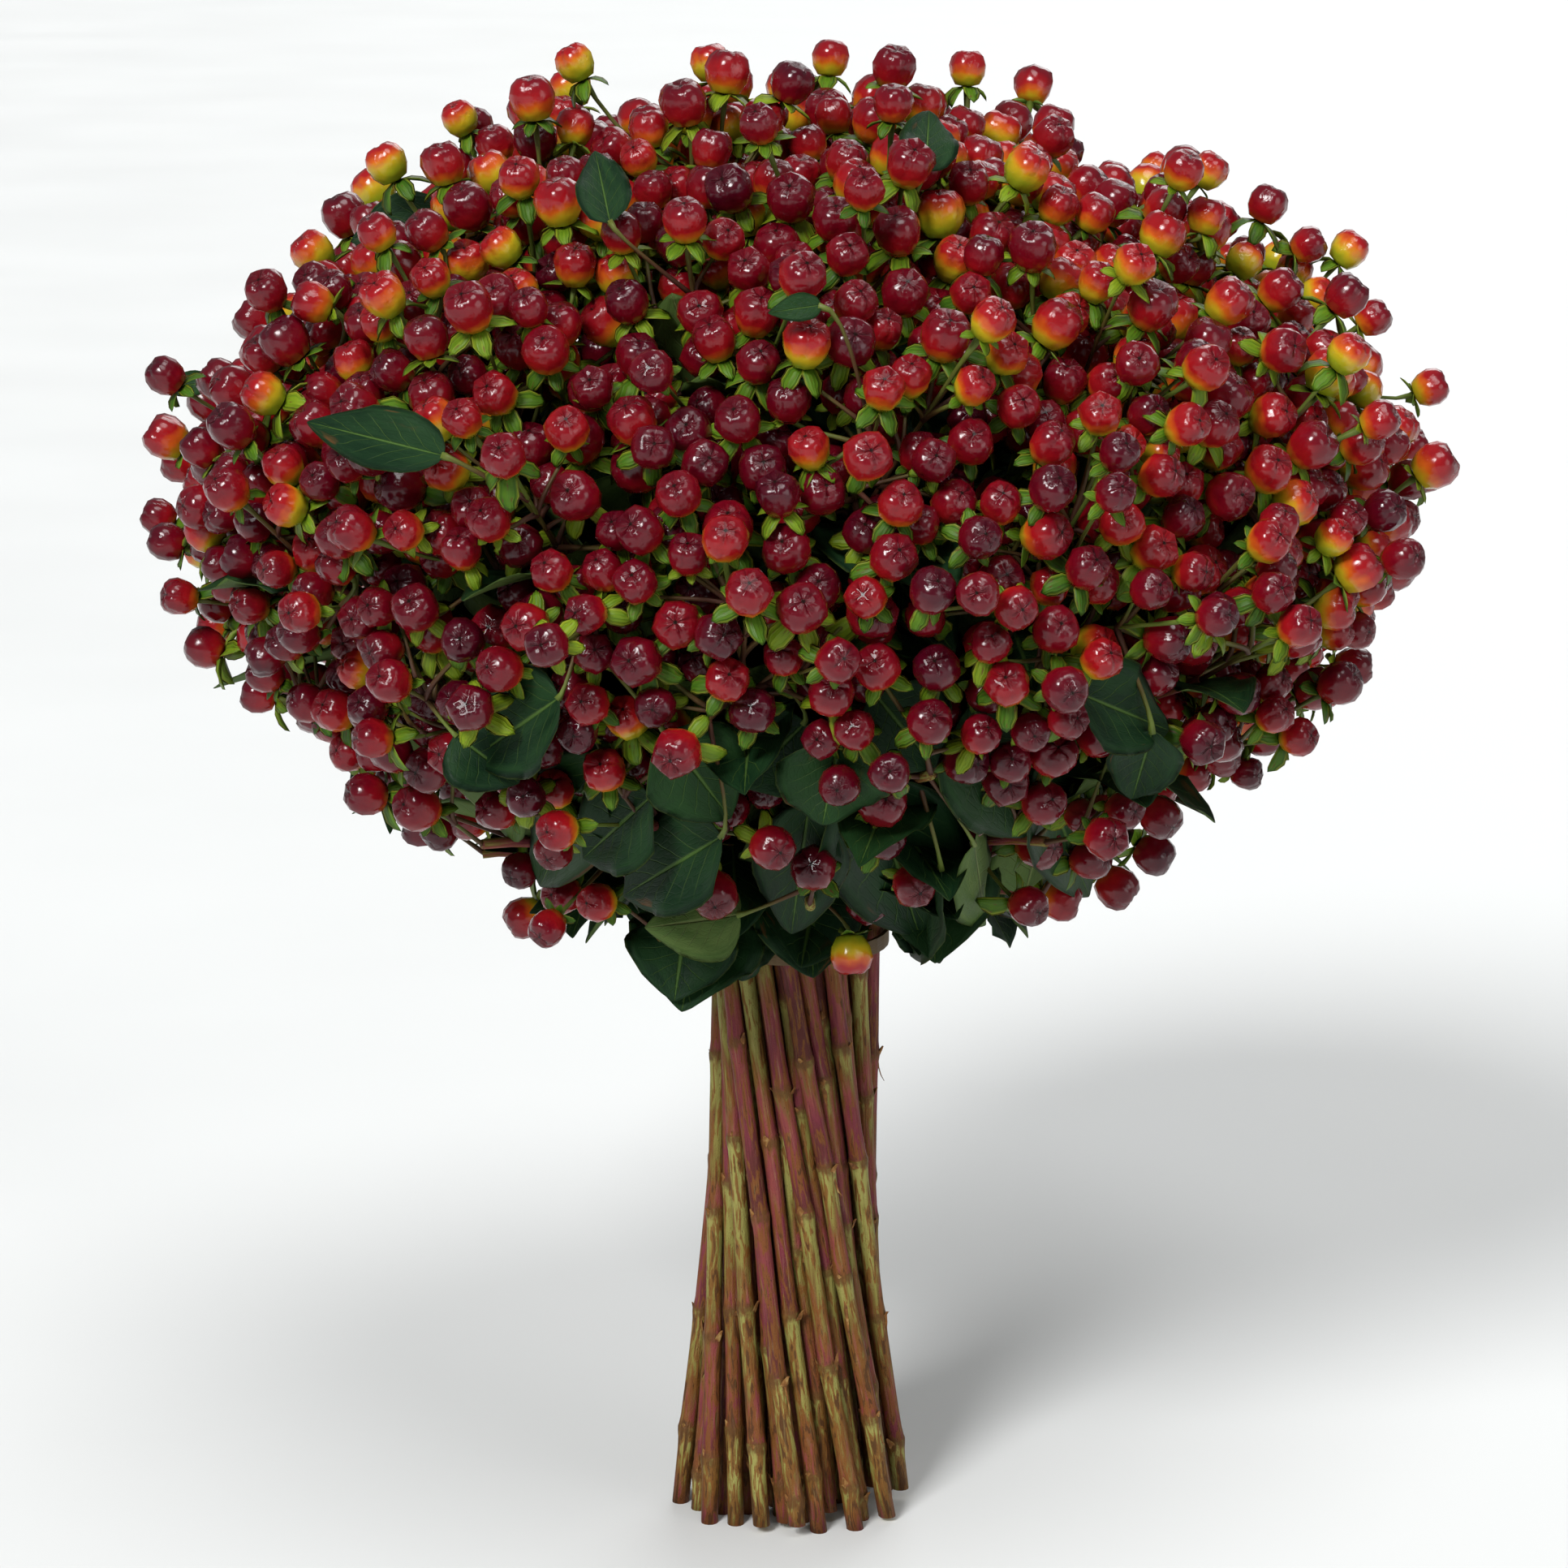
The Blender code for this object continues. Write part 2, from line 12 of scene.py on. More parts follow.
import bpy
import numpy as np
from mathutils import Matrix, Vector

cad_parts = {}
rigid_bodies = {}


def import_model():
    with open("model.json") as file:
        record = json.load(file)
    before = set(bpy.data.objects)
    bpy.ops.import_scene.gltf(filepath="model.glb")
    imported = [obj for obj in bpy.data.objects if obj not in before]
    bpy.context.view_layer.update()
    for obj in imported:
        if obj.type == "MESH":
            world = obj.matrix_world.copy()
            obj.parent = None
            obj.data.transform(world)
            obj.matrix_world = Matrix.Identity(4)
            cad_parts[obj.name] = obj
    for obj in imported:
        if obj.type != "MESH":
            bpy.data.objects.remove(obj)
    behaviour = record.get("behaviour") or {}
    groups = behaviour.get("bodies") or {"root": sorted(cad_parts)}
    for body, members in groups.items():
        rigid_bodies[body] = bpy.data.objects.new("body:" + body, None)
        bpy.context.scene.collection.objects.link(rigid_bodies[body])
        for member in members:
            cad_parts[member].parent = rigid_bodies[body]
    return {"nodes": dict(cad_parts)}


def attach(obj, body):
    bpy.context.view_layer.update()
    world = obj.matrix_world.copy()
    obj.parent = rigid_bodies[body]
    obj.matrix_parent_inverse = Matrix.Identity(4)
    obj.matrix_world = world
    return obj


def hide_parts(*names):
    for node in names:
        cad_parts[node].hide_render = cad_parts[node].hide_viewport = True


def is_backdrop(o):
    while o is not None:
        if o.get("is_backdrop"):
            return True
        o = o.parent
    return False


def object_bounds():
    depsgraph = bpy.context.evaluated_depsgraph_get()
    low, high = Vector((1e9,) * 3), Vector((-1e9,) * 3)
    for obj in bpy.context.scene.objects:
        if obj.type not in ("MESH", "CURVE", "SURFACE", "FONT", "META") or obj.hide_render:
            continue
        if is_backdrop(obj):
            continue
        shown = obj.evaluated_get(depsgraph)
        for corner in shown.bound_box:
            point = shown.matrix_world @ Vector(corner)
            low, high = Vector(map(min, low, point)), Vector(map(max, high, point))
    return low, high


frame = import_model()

BOX_LOW, BOX_HIGH = (np.array(corner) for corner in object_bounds())
STEM_NODES = [name for name in frame["nodes"] if name.startswith("leafy_stem")]
print("box in mm:", (BOX_LOW * 1000).round(1), (BOX_HIGH * 1000).round(1), "stems:", len(STEM_NODES))

# %% [markdown]
# ## Where everything grows
#
# A florist spirals the stems: each leans the same way, so they cross at one narrow waist and fan out at
# both ends. Straight lines that lean alike round an axis lie on a hyperboloid, so one slide rate gives
# every stem. Sunflower spacing, a turn of the golden angle each time, shares out the stems at the waist
# and the berries over the head. The same rules with the same seed placed the solids, so the finer pieces
# land exactly on them.

# %% Sizes of the bunch
# Lengths are in metres and angles in radians, but for the leaves' rises, which are in degrees
STEM_COUNT = 59

# The head's outline
HEAD_RADIUS = 0.213
SHOULDER_Z = 0.350
CROWN_HEIGHT = 0.143
UNDERSIDE_DEPTH = 0.165
UNDERSIDE_POWER = 1.25
HEAD_END = 2.62
OUTLINE_STEPS = 240
FACING_Z = 0.260

# The spiral of stems
WAIST_Z = 0.165
WAIST_RADIUS = 0.0266
SPIRAL_RATE = 6.6
STRAIGHT_END_Z = 0.203
HEAD_TWIST = math.radians(-38)
GOLDEN_ANGLE = math.pi * (3 - math.sqrt(5))
STEM_GAP = 0.00024
STEM_RADIUS_MAX = 0.0029
STEM_KNOTS = ((0, 1 / 3, 1), (0, 1 / 3, 2 / 3, 1))
OUTER_STEMS = 0.5 * STEM_COUNT
TIP_SHARE = 0.80
FOOT_LIFT = (-0.006, 0.006)
FOOT_Z = -0.004
STEM_RISE = 0.80
STEM_LEAN_OUT = 0.60

# Twigs
TWIG_RADIUS = 0.0014
TWIG_SPHERES = 12
NEAR_STEM = 5
TWIG_STEP_BACK = 0.45
TWIG_ROOM_ABOVE_TIE = 0.010
TWIG_SPACING = 0.0045
TWIG_ROOM_AT_TIP = 0.004
TIP_BERRY_BACK = 0.001
TWIG_START_SCATTER = (-0.012, 0.008)
ROUTE_MARKS = 24

# Berries and their sepals
SIDE_BERRY_COUNT = 148
BERRY_TRIES = 80
BERRY_SEAT = 0.42
SCATTER_GROWTH = 2.5
BERRY_ROOM = 0.0012
BERRY_PHASE = 0.9
BERRY_DIAMETERS = (0.0120, 0.0152)
BERRY_DEPTHS = (-0.006, 0.012)
BERRY_SCATTER = 0.0075
BERRY_TURN_OUT = 0.55
BERRY_NOD = 0.22
SEPAL_REACH = 0.0084
SEPALS_BACK = 0.001
TOP_OF_BERRY = 0.3
SPHERE_SHARES = (0.92, 1.03, 0.9)

# Leaves, and the collar that they form round the neck
LEAF_FOLD = math.radians(14)
LEAF_WAVE = 0.05
LEAF_WIDTHS = (0.58, 0.68)
LEAF_DROOPS = (0.06, 0.2)
LEAF_ROLL = 0.4
LEAF_START = -0.004
SAMPLE_SHARES = np.linspace(0.14, 1, 12)
SAMPLE_SIDES = (-1, -0.6, -0.2, 0.2, 0.6, 1)
LEAF_TRIES = 220
SECOND_LEAVES = 16
COLLAR_STEMS = 0.56 * STEM_COUNT
COLLAR_LEAF = {"stretch": 0.040, "turn": 0.7, "rise": (-82, -42), "length": (0.058, 0.076)}
OUTER_LEAF = {"stretch": 0.500, "turn": 0.9, "rise": (-45, 30), "length": (0.046, 0.066)}
INNER_LEAF = {"stretch": 0.500, "turn": 0.9, "rise": (5, 75), "length": (0.038, 0.058)}
COLLAR_Z = 0.176
COLLAR_RADIUS = 0.047
COLLAR_SLOPE = 1.45
LEAF_ROOM = 0.0032
LEAF_ROOM_AMONG = 0.0050

# Tests for room
CROWD_REACH = 0.016
CROWD_BELOW_TIE = 0.035
CROWD_STEP = 0.003

SEED = 52


# %% The head's outline
def head_outline(turn):
    """(radius, height) of the head's outline, where turn runs from 0 at the crown towards pi beneath."""
    side = math.sin(turn)
    rise = math.cos(turn)
    if rise >= 0:
        return HEAD_RADIUS * side, SHOULDER_Z + CROWN_HEIGHT * rise
    low = UNDERSIDE_DEPTH * (-rise) ** UNDERSIDE_POWER
    return HEAD_RADIUS * side**UNDERSIDE_POWER, SHOULDER_Z - low


def around(radius, azimuth, height):
    """A point from its distance to the axis, its azimuth and its height."""
    return np.array([radius * math.cos(azimuth), radius * math.sin(azimuth), height])


def unit(vector):
    return vector / np.linalg.norm(vector)


def facing(point):
    """The way outwards from the middle of the head."""
    return unit(point - np.array([0, 0, FACING_Z]))


def head_shares():
    """The turn of the head's outline at which each share of its area is reached."""
    turns = np.linspace(0, HEAD_END, OUTLINE_STEPS)
    outline = np.array([head_outline(turn) for turn in turns])
    steps = np.linalg.norm(np.diff(outline, axis=0), axis=1)
    bands = steps * (outline[1:, 0] + outline[:-1, 0])
    shares = np.concatenate([[0], np.cumsum(bands)])
    return shares / shares[-1], turns


AREA_SHARES, AREA_TURNS = head_shares()
OUTLINE_RADII, OUTLINE_HEIGHTS = np.array([head_outline(turn) for turn in AREA_TURNS[::-1]]).T


def head_point(share, azimuth):
    """The point of the head's outline that has this share of its area above it."""
    turn = float(np.interp(share, AREA_SHARES, AREA_TURNS))
    radius, height = head_outline(turn)
    return around(radius, azimuth, height)


# %% The spiral of stems
def spiral_point(radius, azimuth, height):
    """A point of a straight stem that passes the waist at this radius and azimuth."""
    slide = SPIRAL_RATE * (height - WAIST_Z)
    return around(radius * math.hypot(1, slide), azimuth - math.atan(slide), height)


def stem_seats():
    """Radius and azimuth at the waist of each stem, by the sunflower rule, the middle one on the axis."""
    numbers = np.arange(STEM_COUNT)
    radii = WAIST_RADIUS * np.sqrt(numbers / (STEM_COUNT - 1))
    return list(zip(radii, numbers * GOLDEN_ANGLE))


def stem_radii(seats):
    """Each stem reaches halfway to its nearest neighbour, then grows until it just misses one."""
    places = np.array([around(radius, azimuth, 0) for radius, azimuth in seats])
    apart = np.linalg.norm(places[:, None] - places[None], axis=2) - STEM_GAP
    np.fill_diagonal(apart, 1)
    radii = apart.min(axis=1) / 2
    for number in range(STEM_COUNT):
        radii[number] = min((apart[number] - radii).min(), STEM_RADIUS_MAX)
    return radii


def curve_between(start, start_pull, end, end_pull, share):
    """A point of the smooth curve that leaves start along start_pull and arrives at end along end_pull."""
    s2, s3 = share**2, share**3
    near = 2 * s3 - 3 * s2 + 1
    return near * start + (1 - near) * end + (s3 - 2 * s2 + share) * start_pull + (s3 - s2) * end_pull


def stem_target(number, azimuth):
    """The place on the head that a stem grows towards."""
    return head_point((number + 0.5) / STEM_COUNT, azimuth + HEAD_TWIST)


def stem_route(number, seat, shares=None):
    """Points of a stem's axis from the foot to its tip: straight to the tie, then curving outwards."""
    radius, azimuth = seat
    foot = spiral_point(radius, azimuth, FOOT_Z)
    tie = spiral_point(radius, azimuth, STRAIGHT_END_Z)
    target = stem_target(number, azimuth)
    middle = np.array([0, 0, STRAIGHT_END_Z])
    tip = middle + TIP_SHARE * (target - middle)
    reach = np.linalg.norm(tip - tie)
    start_pull = unit(tie - foot) * reach * STEM_RISE
    end_pull = facing(target) * reach * STEM_LEAN_OUT
    knots = STEM_KNOTS[number > OUTER_STEMS] if shares is None else shares
    upper = [curve_between(tie, start_pull, tip, end_pull, knot) for knot in knots]
    return np.array([foot] + upper)


def route_marks(route):
    """The distance along a route of each of its points."""
    steps = np.linalg.norm(np.diff(route, axis=0), axis=1)
    return np.concatenate([[0], np.cumsum(steps)])


def along(route, distances):
    """Points at these distances along a route."""
    marks = route_marks(route)
    return np.array([np.interp(distances, marks, route[:, axis]) for axis in range(3)]).T


def route_length(route):
    return float(np.linalg.norm(np.diff(route, axis=0), axis=1).sum())


def twig_room(route):
    """The stretch of a stem, as two distances along it, on which twigs may start."""
    return route_length(route[:2]) + TWIG_ROOM_ABOVE_TIE, route_length(route) - TWIG_ROOM_AT_TIP


def nearest_stem(point, routes):
    """(stem, distance along it, distance from it) of the stem whose upper part passes nearest."""
    best = None
    for number, route in enumerate(routes):
        marks = np.linspace(*twig_room(route), ROUTE_MARKS)
        gaps = np.linalg.norm(along(route, marks) - point, axis=1)
        place = int(gaps.argmin())
        if best is None or gaps[place] < best[2]:
            best = (number, float(marks[place]), float(gaps[place]))
    return best


# %% A berry and a leaf, drawn at random
def berry_base(fruit):
    """Where the sepals and the twig meet the berry."""
    return fruit["centre"] - fruit["nod"] * fruit["diameter"] * BERRY_SEAT


def draw_fruit(random, outline, routes, scatter, tip_stem=None):
    """A berry near a place on the head, with the stem that bears it and its twig's start there."""
    outwards = facing(outline)
    shift = random.uniform(-BERRY_SCATTER, BERRY_SCATTER, 3) * scatter
    diameter = random.uniform(*BERRY_DIAMETERS)
    depth = random.uniform(*BERRY_DEPTHS) + diameter / 2
    centre = outline + shift - outwards * (shift @ outwards + depth)
    if tip_stem is None:
        stem, mark, gap = nearest_stem(centre - outwards * diameter / 2, routes)
        low, high = twig_room(routes[stem])
        wanted = mark - TWIG_STEP_BACK * gap + random.uniform(*TWIG_START_SCATTER)
        mark = min(max(wanted, low), high)
    else:
        stem = tip_stem
        mark = route_length(routes[stem]) - TIP_BERRY_BACK
    start = along(routes[stem], [mark])[0]
    nod = unit(BERRY_TURN_OUT * outwards + unit(centre - start) + random.uniform(-BERRY_NOD, BERRY_NOD, 3))
    return {"stem": stem, "mark": mark, "start": start, "centre": centre, "diameter": diameter, "nod": nod}


class Leaf:
    """A leaf blade: a pointed oval that droops along its length and folds up from its midrib."""

    swell, blunt = 0.72, 0.9

    def __init__(self, base, ahead, up, length, width, droop, phase):
        self.base = base
        self.ahead = ahead
        self.across = unit(np.cross(up, ahead))
        self.up = np.cross(ahead, self.across)
        self.length = length
        self.width = width
        self.droop = droop
        self.phase = phase

    def point(self, share, side):
        """The blade at a share of its length and a side from -1 to 1."""
        half = self.width / 2 * math.sin(math.pi * min(max(share, 0), 1) ** self.swell) ** self.blunt
        wave = LEAF_WAVE * self.width * math.sin(9 * share + self.phase + side) * side**2
        rise = half * abs(side) * math.sin(LEAF_FOLD) + wave - self.droop * share**2
        reach = self.length * share
        out = half * side * math.cos(LEAF_FOLD)
        return self.base + self.ahead * reach + self.across * out + self.up * rise

    def samples(self):
        """Points spread over the blade, used to keep it clear of what is near."""
        return np.array([self.point(share, side) for share in SAMPLE_SHARES for side in SAMPLE_SIDES])


def draw_leaf(random, stem, route, in_collar, kind=None):
    """A leaf drawn at random on one stem: hanging over the neck in the collar, or standing in the head."""
    low, high = twig_room(route)
    kind = kind or (COLLAR_LEAF if in_collar else OUTER_LEAF if stem > OUTER_STEMS else INNER_LEAF)
    mark = random.uniform(low + LEAF_START, min(low + kind["stretch"], high))
    base = along(route, [mark])[0]
    away = math.atan2(base[1], base[0]) + random.uniform(-kind["turn"], kind["turn"])
    rise = math.radians(random.uniform(*kind["rise"]))
    length = random.uniform(*kind["length"])
    ahead = around(math.cos(rise), away, math.sin(rise))
    side = unit(np.cross([0, 0, 1], ahead))
    up = unit(np.cross(ahead, side)) + random.uniform(-LEAF_ROLL, LEAF_ROLL) * side
    width = length * random.uniform(*LEAF_WIDTHS)
    return Leaf(base, ahead, up, length, width, length * random.uniform(*LEAF_DROOPS), random.uniform(0, 6))


def within_head(points):
    """Whether every point lies inside the head's outline, or in the collar of leaves round the neck."""
    heights = points[:, 2]
    outline = np.interp(heights, OUTLINE_HEIGHTS, OUTLINE_RADII)
    collar = COLLAR_RADIUS + COLLAR_SLOPE * (heights - COLLAR_Z)
    reach = np.maximum(outline, np.where(heights < SHOULDER_Z, collar, 0))
    return bool((np.hypot(points[:, 0], points[:, 1]) < reach).all() and heights.min() > COLLAR_Z)


# %% Keeping things clear of each other
class Crowd:
    """Everything placed so far, as points with a radius, each owned by a stem."""

    def __init__(self):
        self.points = np.empty((0, 3))
        self.radii = np.empty(0)
        self.owners = np.empty(0, int)

    def add(self, points, radii, owner):
        count = len(points)
        self.points = np.vstack([self.points, points])
        self.radii = np.concatenate([self.radii, np.broadcast_to(radii, count)])
        self.owners = np.concatenate([self.owners, np.full(count, owner)])

    def is_clear(self, points, radii, but_for=None):
        """Whether spheres at these points miss all that was placed before, but for one stem's own."""
        low, high = points.min(axis=0) - CROWD_REACH, points.max(axis=0) + CROWD_REACH
        near = ((self.points > low) & (self.points < high)).all(axis=1)
        if but_for is not None:
            near &= self.owners != but_for
        gaps = np.linalg.norm(points[:, None] - self.points[near][None], axis=2)
        gaps -= self.radii[near][None] + np.broadcast_to(radii, len(points))[:, None]
        return gaps.size == 0 or gaps.min() > 0


def twig_spheres(berry):
    """Spheres along a twig, short of its sepals."""
    length = np.linalg.norm(berry_base(berry) - berry["start"])
    share = max(1 - SEPAL_REACH / length, 0.1)
    marks = np.linspace(0, share, TWIG_SPHERES)[:, None]
    return berry["start"] + (berry_base(berry) - berry["start"]) * marks


def head_spheres(berry):
    """Spheres over a berry and its sepals, with their radii."""
    half = berry["diameter"] / 2
    sepals = berry_base(berry) - berry["nod"] * SEPALS_BACK
    points = np.array([sepals, berry["centre"], berry["centre"] + berry["nod"] * half * TOP_OF_BERRY])
    return points, np.array([SEPAL_REACH, half, half]) * SPHERE_SHARES


def seat_stems(routes, radii):
    """A crowd that holds the woody stems alone."""
    crowd = Crowd()
    for number, route in enumerate(routes):
        marks = np.arange(route_length(route[:2]) - CROWD_BELOW_TIE, route_length(route), CROWD_STEP)
        crowd.add(along(route, marks), radii[number], number)
    return crowd


def place_fruit(crowd, seats, routes):
    """Seats one berry at the tip of each stem, then the side berries evenly over the head between them."""
    random = np.random.RandomState(SEED)
    wishes = [(stem_target(number, azimuth), number) for number, (_, azimuth) in enumerate(seats)]
    for number in range(SIDE_BERRY_COUNT):
        share = (number + 0.5) / SIDE_BERRY_COUNT
        wishes.append((head_point(share, number * GOLDEN_ANGLE + BERRY_PHASE), None))
    fruit = []
    marks = [[] for _ in routes]
    for outline, tip_stem in wishes:
        for attempt in range(BERRY_TRIES):
            scatter = 1 + SCATTER_GROWTH * attempt / BERRY_TRIES
            berry = draw_fruit(random, outline, routes, scatter, tip_stem)
            stem, twig = berry["stem"], twig_spheres(berry)
            points, radii = head_spheres(berry)
            if any(abs(berry["mark"] - other) < TWIG_SPACING for other in marks[stem]):
                continue
            if not crowd.is_clear(points, radii + BERRY_ROOM):
                continue
            if not crowd.is_clear(twig[:NEAR_STEM], TWIG_RADIUS + BERRY_ROOM, but_for=stem):
                continue
            if not crowd.is_clear(twig[NEAR_STEM:], TWIG_RADIUS + BERRY_ROOM):
                continue
            crowd.add(points, radii, stem)
            crowd.add(twig, TWIG_RADIUS, stem)
            marks[stem].append(berry["mark"])
            fruit.append(berry)
            break
    return fruit


def place_leaves(crowd, routes):
    """Seats leaves on the stems, outermost stems first, each at a draw that is clear of all the rest."""
    random = np.random.RandomState(SEED + 1)
    leaves = []
    inwards = list(reversed(range(STEM_COUNT)))
    turns = [(stem, True) for stem in inwards if stem > COLLAR_STEMS]
    turns += [(stem, False) for stem in inwards]
    turns += [(stem, False) for stem in inwards if stem > OUTER_STEMS][:SECOND_LEAVES]
    for stem, in_collar in turns:
        for _ in range(LEAF_TRIES):
            leaf = draw_leaf(random, stem, routes[stem], in_collar)
            points = leaf.samples()
            if not within_head(points):
                continue
            near, far = points[:12], points[12:]
            if crowd.is_clear(near, LEAF_ROOM, but_for=stem) and crowd.is_clear(far, LEAF_ROOM):
                crowd.add(points, LEAF_ROOM_AMONG - LEAF_ROOM, stem)
                leaves.append((stem, leaf))
                break
    return leaves


def foot_heights():
    """How far above the surface each stem is cut off, most of them not at all."""
    lifts = np.random.RandomState(SEED + 2).uniform(*FOOT_LIFT, STEM_COUNT)
    lifts[0] = 0
    return np.maximum(lifts, 0)


# %% Lay the bunch out
seats = stem_seats()
radii = stem_radii(seats)
rough_routes = [stem_route(number, seat) for number, seat in enumerate(seats)]
crowd = seat_stems(rough_routes, radii)
main_fruit = place_fruit(crowd, seats, rough_routes)
leaves = place_leaves(crowd, rough_routes)
print(len(main_fruit), "berries and", len(leaves), "leaves of the solids found again")

# %% [markdown]
# ## The camera, early
#
# The photograph looks slightly down on the bunch from 1.5 m with a long lens. A few berries that stand
# out from its outline are placed by their pixel in it, so the camera's own sums come first.

# %% Camera
CAMERA_DISTANCE = 1.5
CAMERA_RISE = math.radians(13)
CAMERA_AIM = np.array([-0.003, 0, 0.25])
PHOTO_SIDE = 1932
FOCAL_PIXELS = 5597
SENSOR_WIDTH = 36


def new_object(name, data):
    """An object for a mesh, a lamp or the camera, linked to the scene."""
    made = bpy.data.objects.new(name, data)
    bpy.context.scene.collection.objects.link(made)
    return made


camera = new_object("camera", bpy.data.cameras.new("camera"))
camera_place = CAMERA_AIM + CAMERA_DISTANCE * np.array([0, -math.cos(CAMERA_RISE), math.sin(CAMERA_RISE)])
camera.location = camera_place
camera.rotation_euler = (math.pi / 2 - CAMERA_RISE, 0, 0)
camera.data.sensor_width = SENSOR_WIDTH
camera.data.lens = FOCAL_PIXELS / PHOTO_SIDE * SENSOR_WIDTH
bpy.context.scene.camera = camera


def seen_at(column, row, depth):
    """The point on the upright plane at this depth that the photograph shows at a column and row."""
    right = (column - PHOTO_SIDE / 2) / FOCAL_PIXELS
    up = -(row - PHOTO_SIDE / 2) / FOCAL_PIXELS
    sine, cosine = math.sin(CAMERA_RISE), math.cos(CAMERA_RISE)
    ray = np.array([right, cosine + up * sine, up * cosine - sine])
    return camera_place + ray * (depth - camera_place[1]) / ray[1]


print("lens", round(camera.data.lens, 1), "mm")

# %% [markdown]
# ## More leaves
#
# Three kinds of leaves join those of the solids. Some are placed by where the photograph shows them, with
# the pixel of their base and tip. Others hang round the neck or spread under the head. All of these go in
# before the small berries do, so that the berries find their room between them. The solids' own leaves
# reach a little below the photograph's, so the lowest are drawn shorter.

# %% Leaves by the photograph
# Base column and row, tip column and row, how far each lies below the head's outline in mm (None: on an
# upright plane 20 mm in front of the axis), width in mm, and whether the upper face is turned to the camera
SEEN_LEAVES = (
    (1072, 955, 1134, 1150, 12, 3, 49, True), (985, 1005, 964, 1164, 12, 4, 31, True),
    (914, 1126, 796, 1142, 8, 4, 27, False), (890, 1030, 768, 1104, 12, 8, 35, True),
    (1160, 1070, 1122, 1178, 14, 9, 32, True), (1200, 1040, 1214, 1140, 16, 14, 28, False),
    (1282, 925, 1346, 1090, 8, 4, 33, True), (1195, 880, 1262, 1045, 16, 14, 44, True),
    (748, 920, 676, 1078, 10, 6, 33, True), (690, 860, 585, 935, 14, 12, 36, True),
    (487, 925, 486, 1034, None, None, 10, True), (545, 262, 432, 298, None, None, 21, True),
    (560, 330, 482, 288, None, None, 14, True), (752, 275, 733, 186, 8, 3, 17, True),
    (1128, 222, 1132, 148, 4, 2, 19, True), (548, 562, 378, 520, 6, 3, 21, True),
    (1012, 376, 946, 386, 1, 1, 9, True), (262, 470, 196, 480, None, None, 9, True),
    (1420, 900, 1395, 985, 8, 6, 24, True), (820, 905, 900, 1010, 16, 14, 34, True),
    (560, 905, 640, 965, 12, 10, 28, True), (1090, 870, 1165, 960, 18, 14, 36, True),
    (980, 885, 900, 965, 18, 16, 34, True), (800, 985, 716, 1062, 12, 8, 34, True),
    (1030, 905, 1010, 1010, 18, 12, 36, True), (1330, 855, 1440, 900, 14, 12, 30, True),
)
JITTER = 16
SEEN_TRIES = 60
SEEN_DEEPER = 24
TIP_FOLLOWS = 0.6
SEEN_OVAL = (0.66, 0.80)
LOOKS_ASIDE, LOOKS_UP = 0.25, 0.45
UPRIGHT_PLANE = -0.02
SEEN_STEP = 0.001
NECK_RADIUS = 0.03
SEEN_ROOM = 0.0003
BLADE_ROOM = 0.0004
NO_STEM = -2


def seen_on_head(column, row, below):
    """The first point under the head's outline, by this many mm, that the photograph shows at a pixel."""
    if below is None:
        return seen_at(column, row, UPRIGHT_PLANE)
    for depth in np.arange(-HEAD_RADIUS, 0, SEEN_STEP):
        point = seen_at(column, row, depth)
        reach = np.interp(point[2], OUTLINE_HEIGHTS, OUTLINE_RADII, left=NECK_RADIUS, right=0.0)
        if math.hypot(point[0], point[1]) < reach - below / 1000:
            return point
    return seen_at(column, row, UPRIGHT_PLANE)


def seen_leaf(random, entry, deeper=0, jitter=0):
    """One of the photograph's leaves, moved a little at random or deeper where others are in the way."""
    column, row, tip_column, tip_row, below, tip_below, width, shows_top = entry
    if below is not None:
        below, tip_below = below + deeper, tip_below + deeper * TIP_FOLLOWS
    right, down = random.uniform(-jitter, jitter, 2)
    base = seen_on_head(column + right, row + down, below)
    tip = seen_on_head(tip_column + right, tip_row + down, tip_below)
    towards = np.array([random.uniform(-LOOKS_ASIDE, LOOKS_ASIDE), -1, LOOKS_UP]) * (1 if shows_top else -1)
    length = np.linalg.norm(tip - base)
    leaf = Leaf(base, unit(tip - base), towards, length, width / 1000, 0.0, random.uniform(0, 6))
    leaf.swell, leaf.blunt = SEEN_OVAL
    return leaf


def clear_seen_leaf(random, entry, crowd):
    """The first try that misses the berries, twigs and leaves before it, or the last one."""
    for attempt in range(SEEN_TRIES):
        leaf = seen_leaf(random, entry, SEEN_DEEPER * attempt / SEEN_TRIES, JITTER * attempt / SEEN_TRIES)
        if crowd.is_clear(leaf.samples(), SEEN_ROOM):
            break
    crowd.add(leaf.samples(), BLADE_ROOM, NO_STEM)
    return leaf


LOWEST_TIP = 0.203
TIP_SCATTER = 0.010
SHORTEST_SHARE = 0.42
NARROWING = 0.35
SHORT_OVAL = (0.66, 0.76)


def shortened(random, leaf):
    """A leaf that hangs too low, made shorter and a little narrower, with fuller shoulders."""
    tip = leaf.point(1, 0)[2]
    wanted = LOWEST_TIP + random.uniform(0, TIP_SCATTER)
    if tip < wanted:
        share = max((leaf.base[2] - wanted) / (leaf.base[2] - tip), SHORTEST_SHARE)
        leaf.length *= share
        leaf.droop *= share
        leaf.width *= 1 - (1 - share) * NARROWING
        leaf.swell, leaf.blunt = SHORT_OVAL
    return leaf


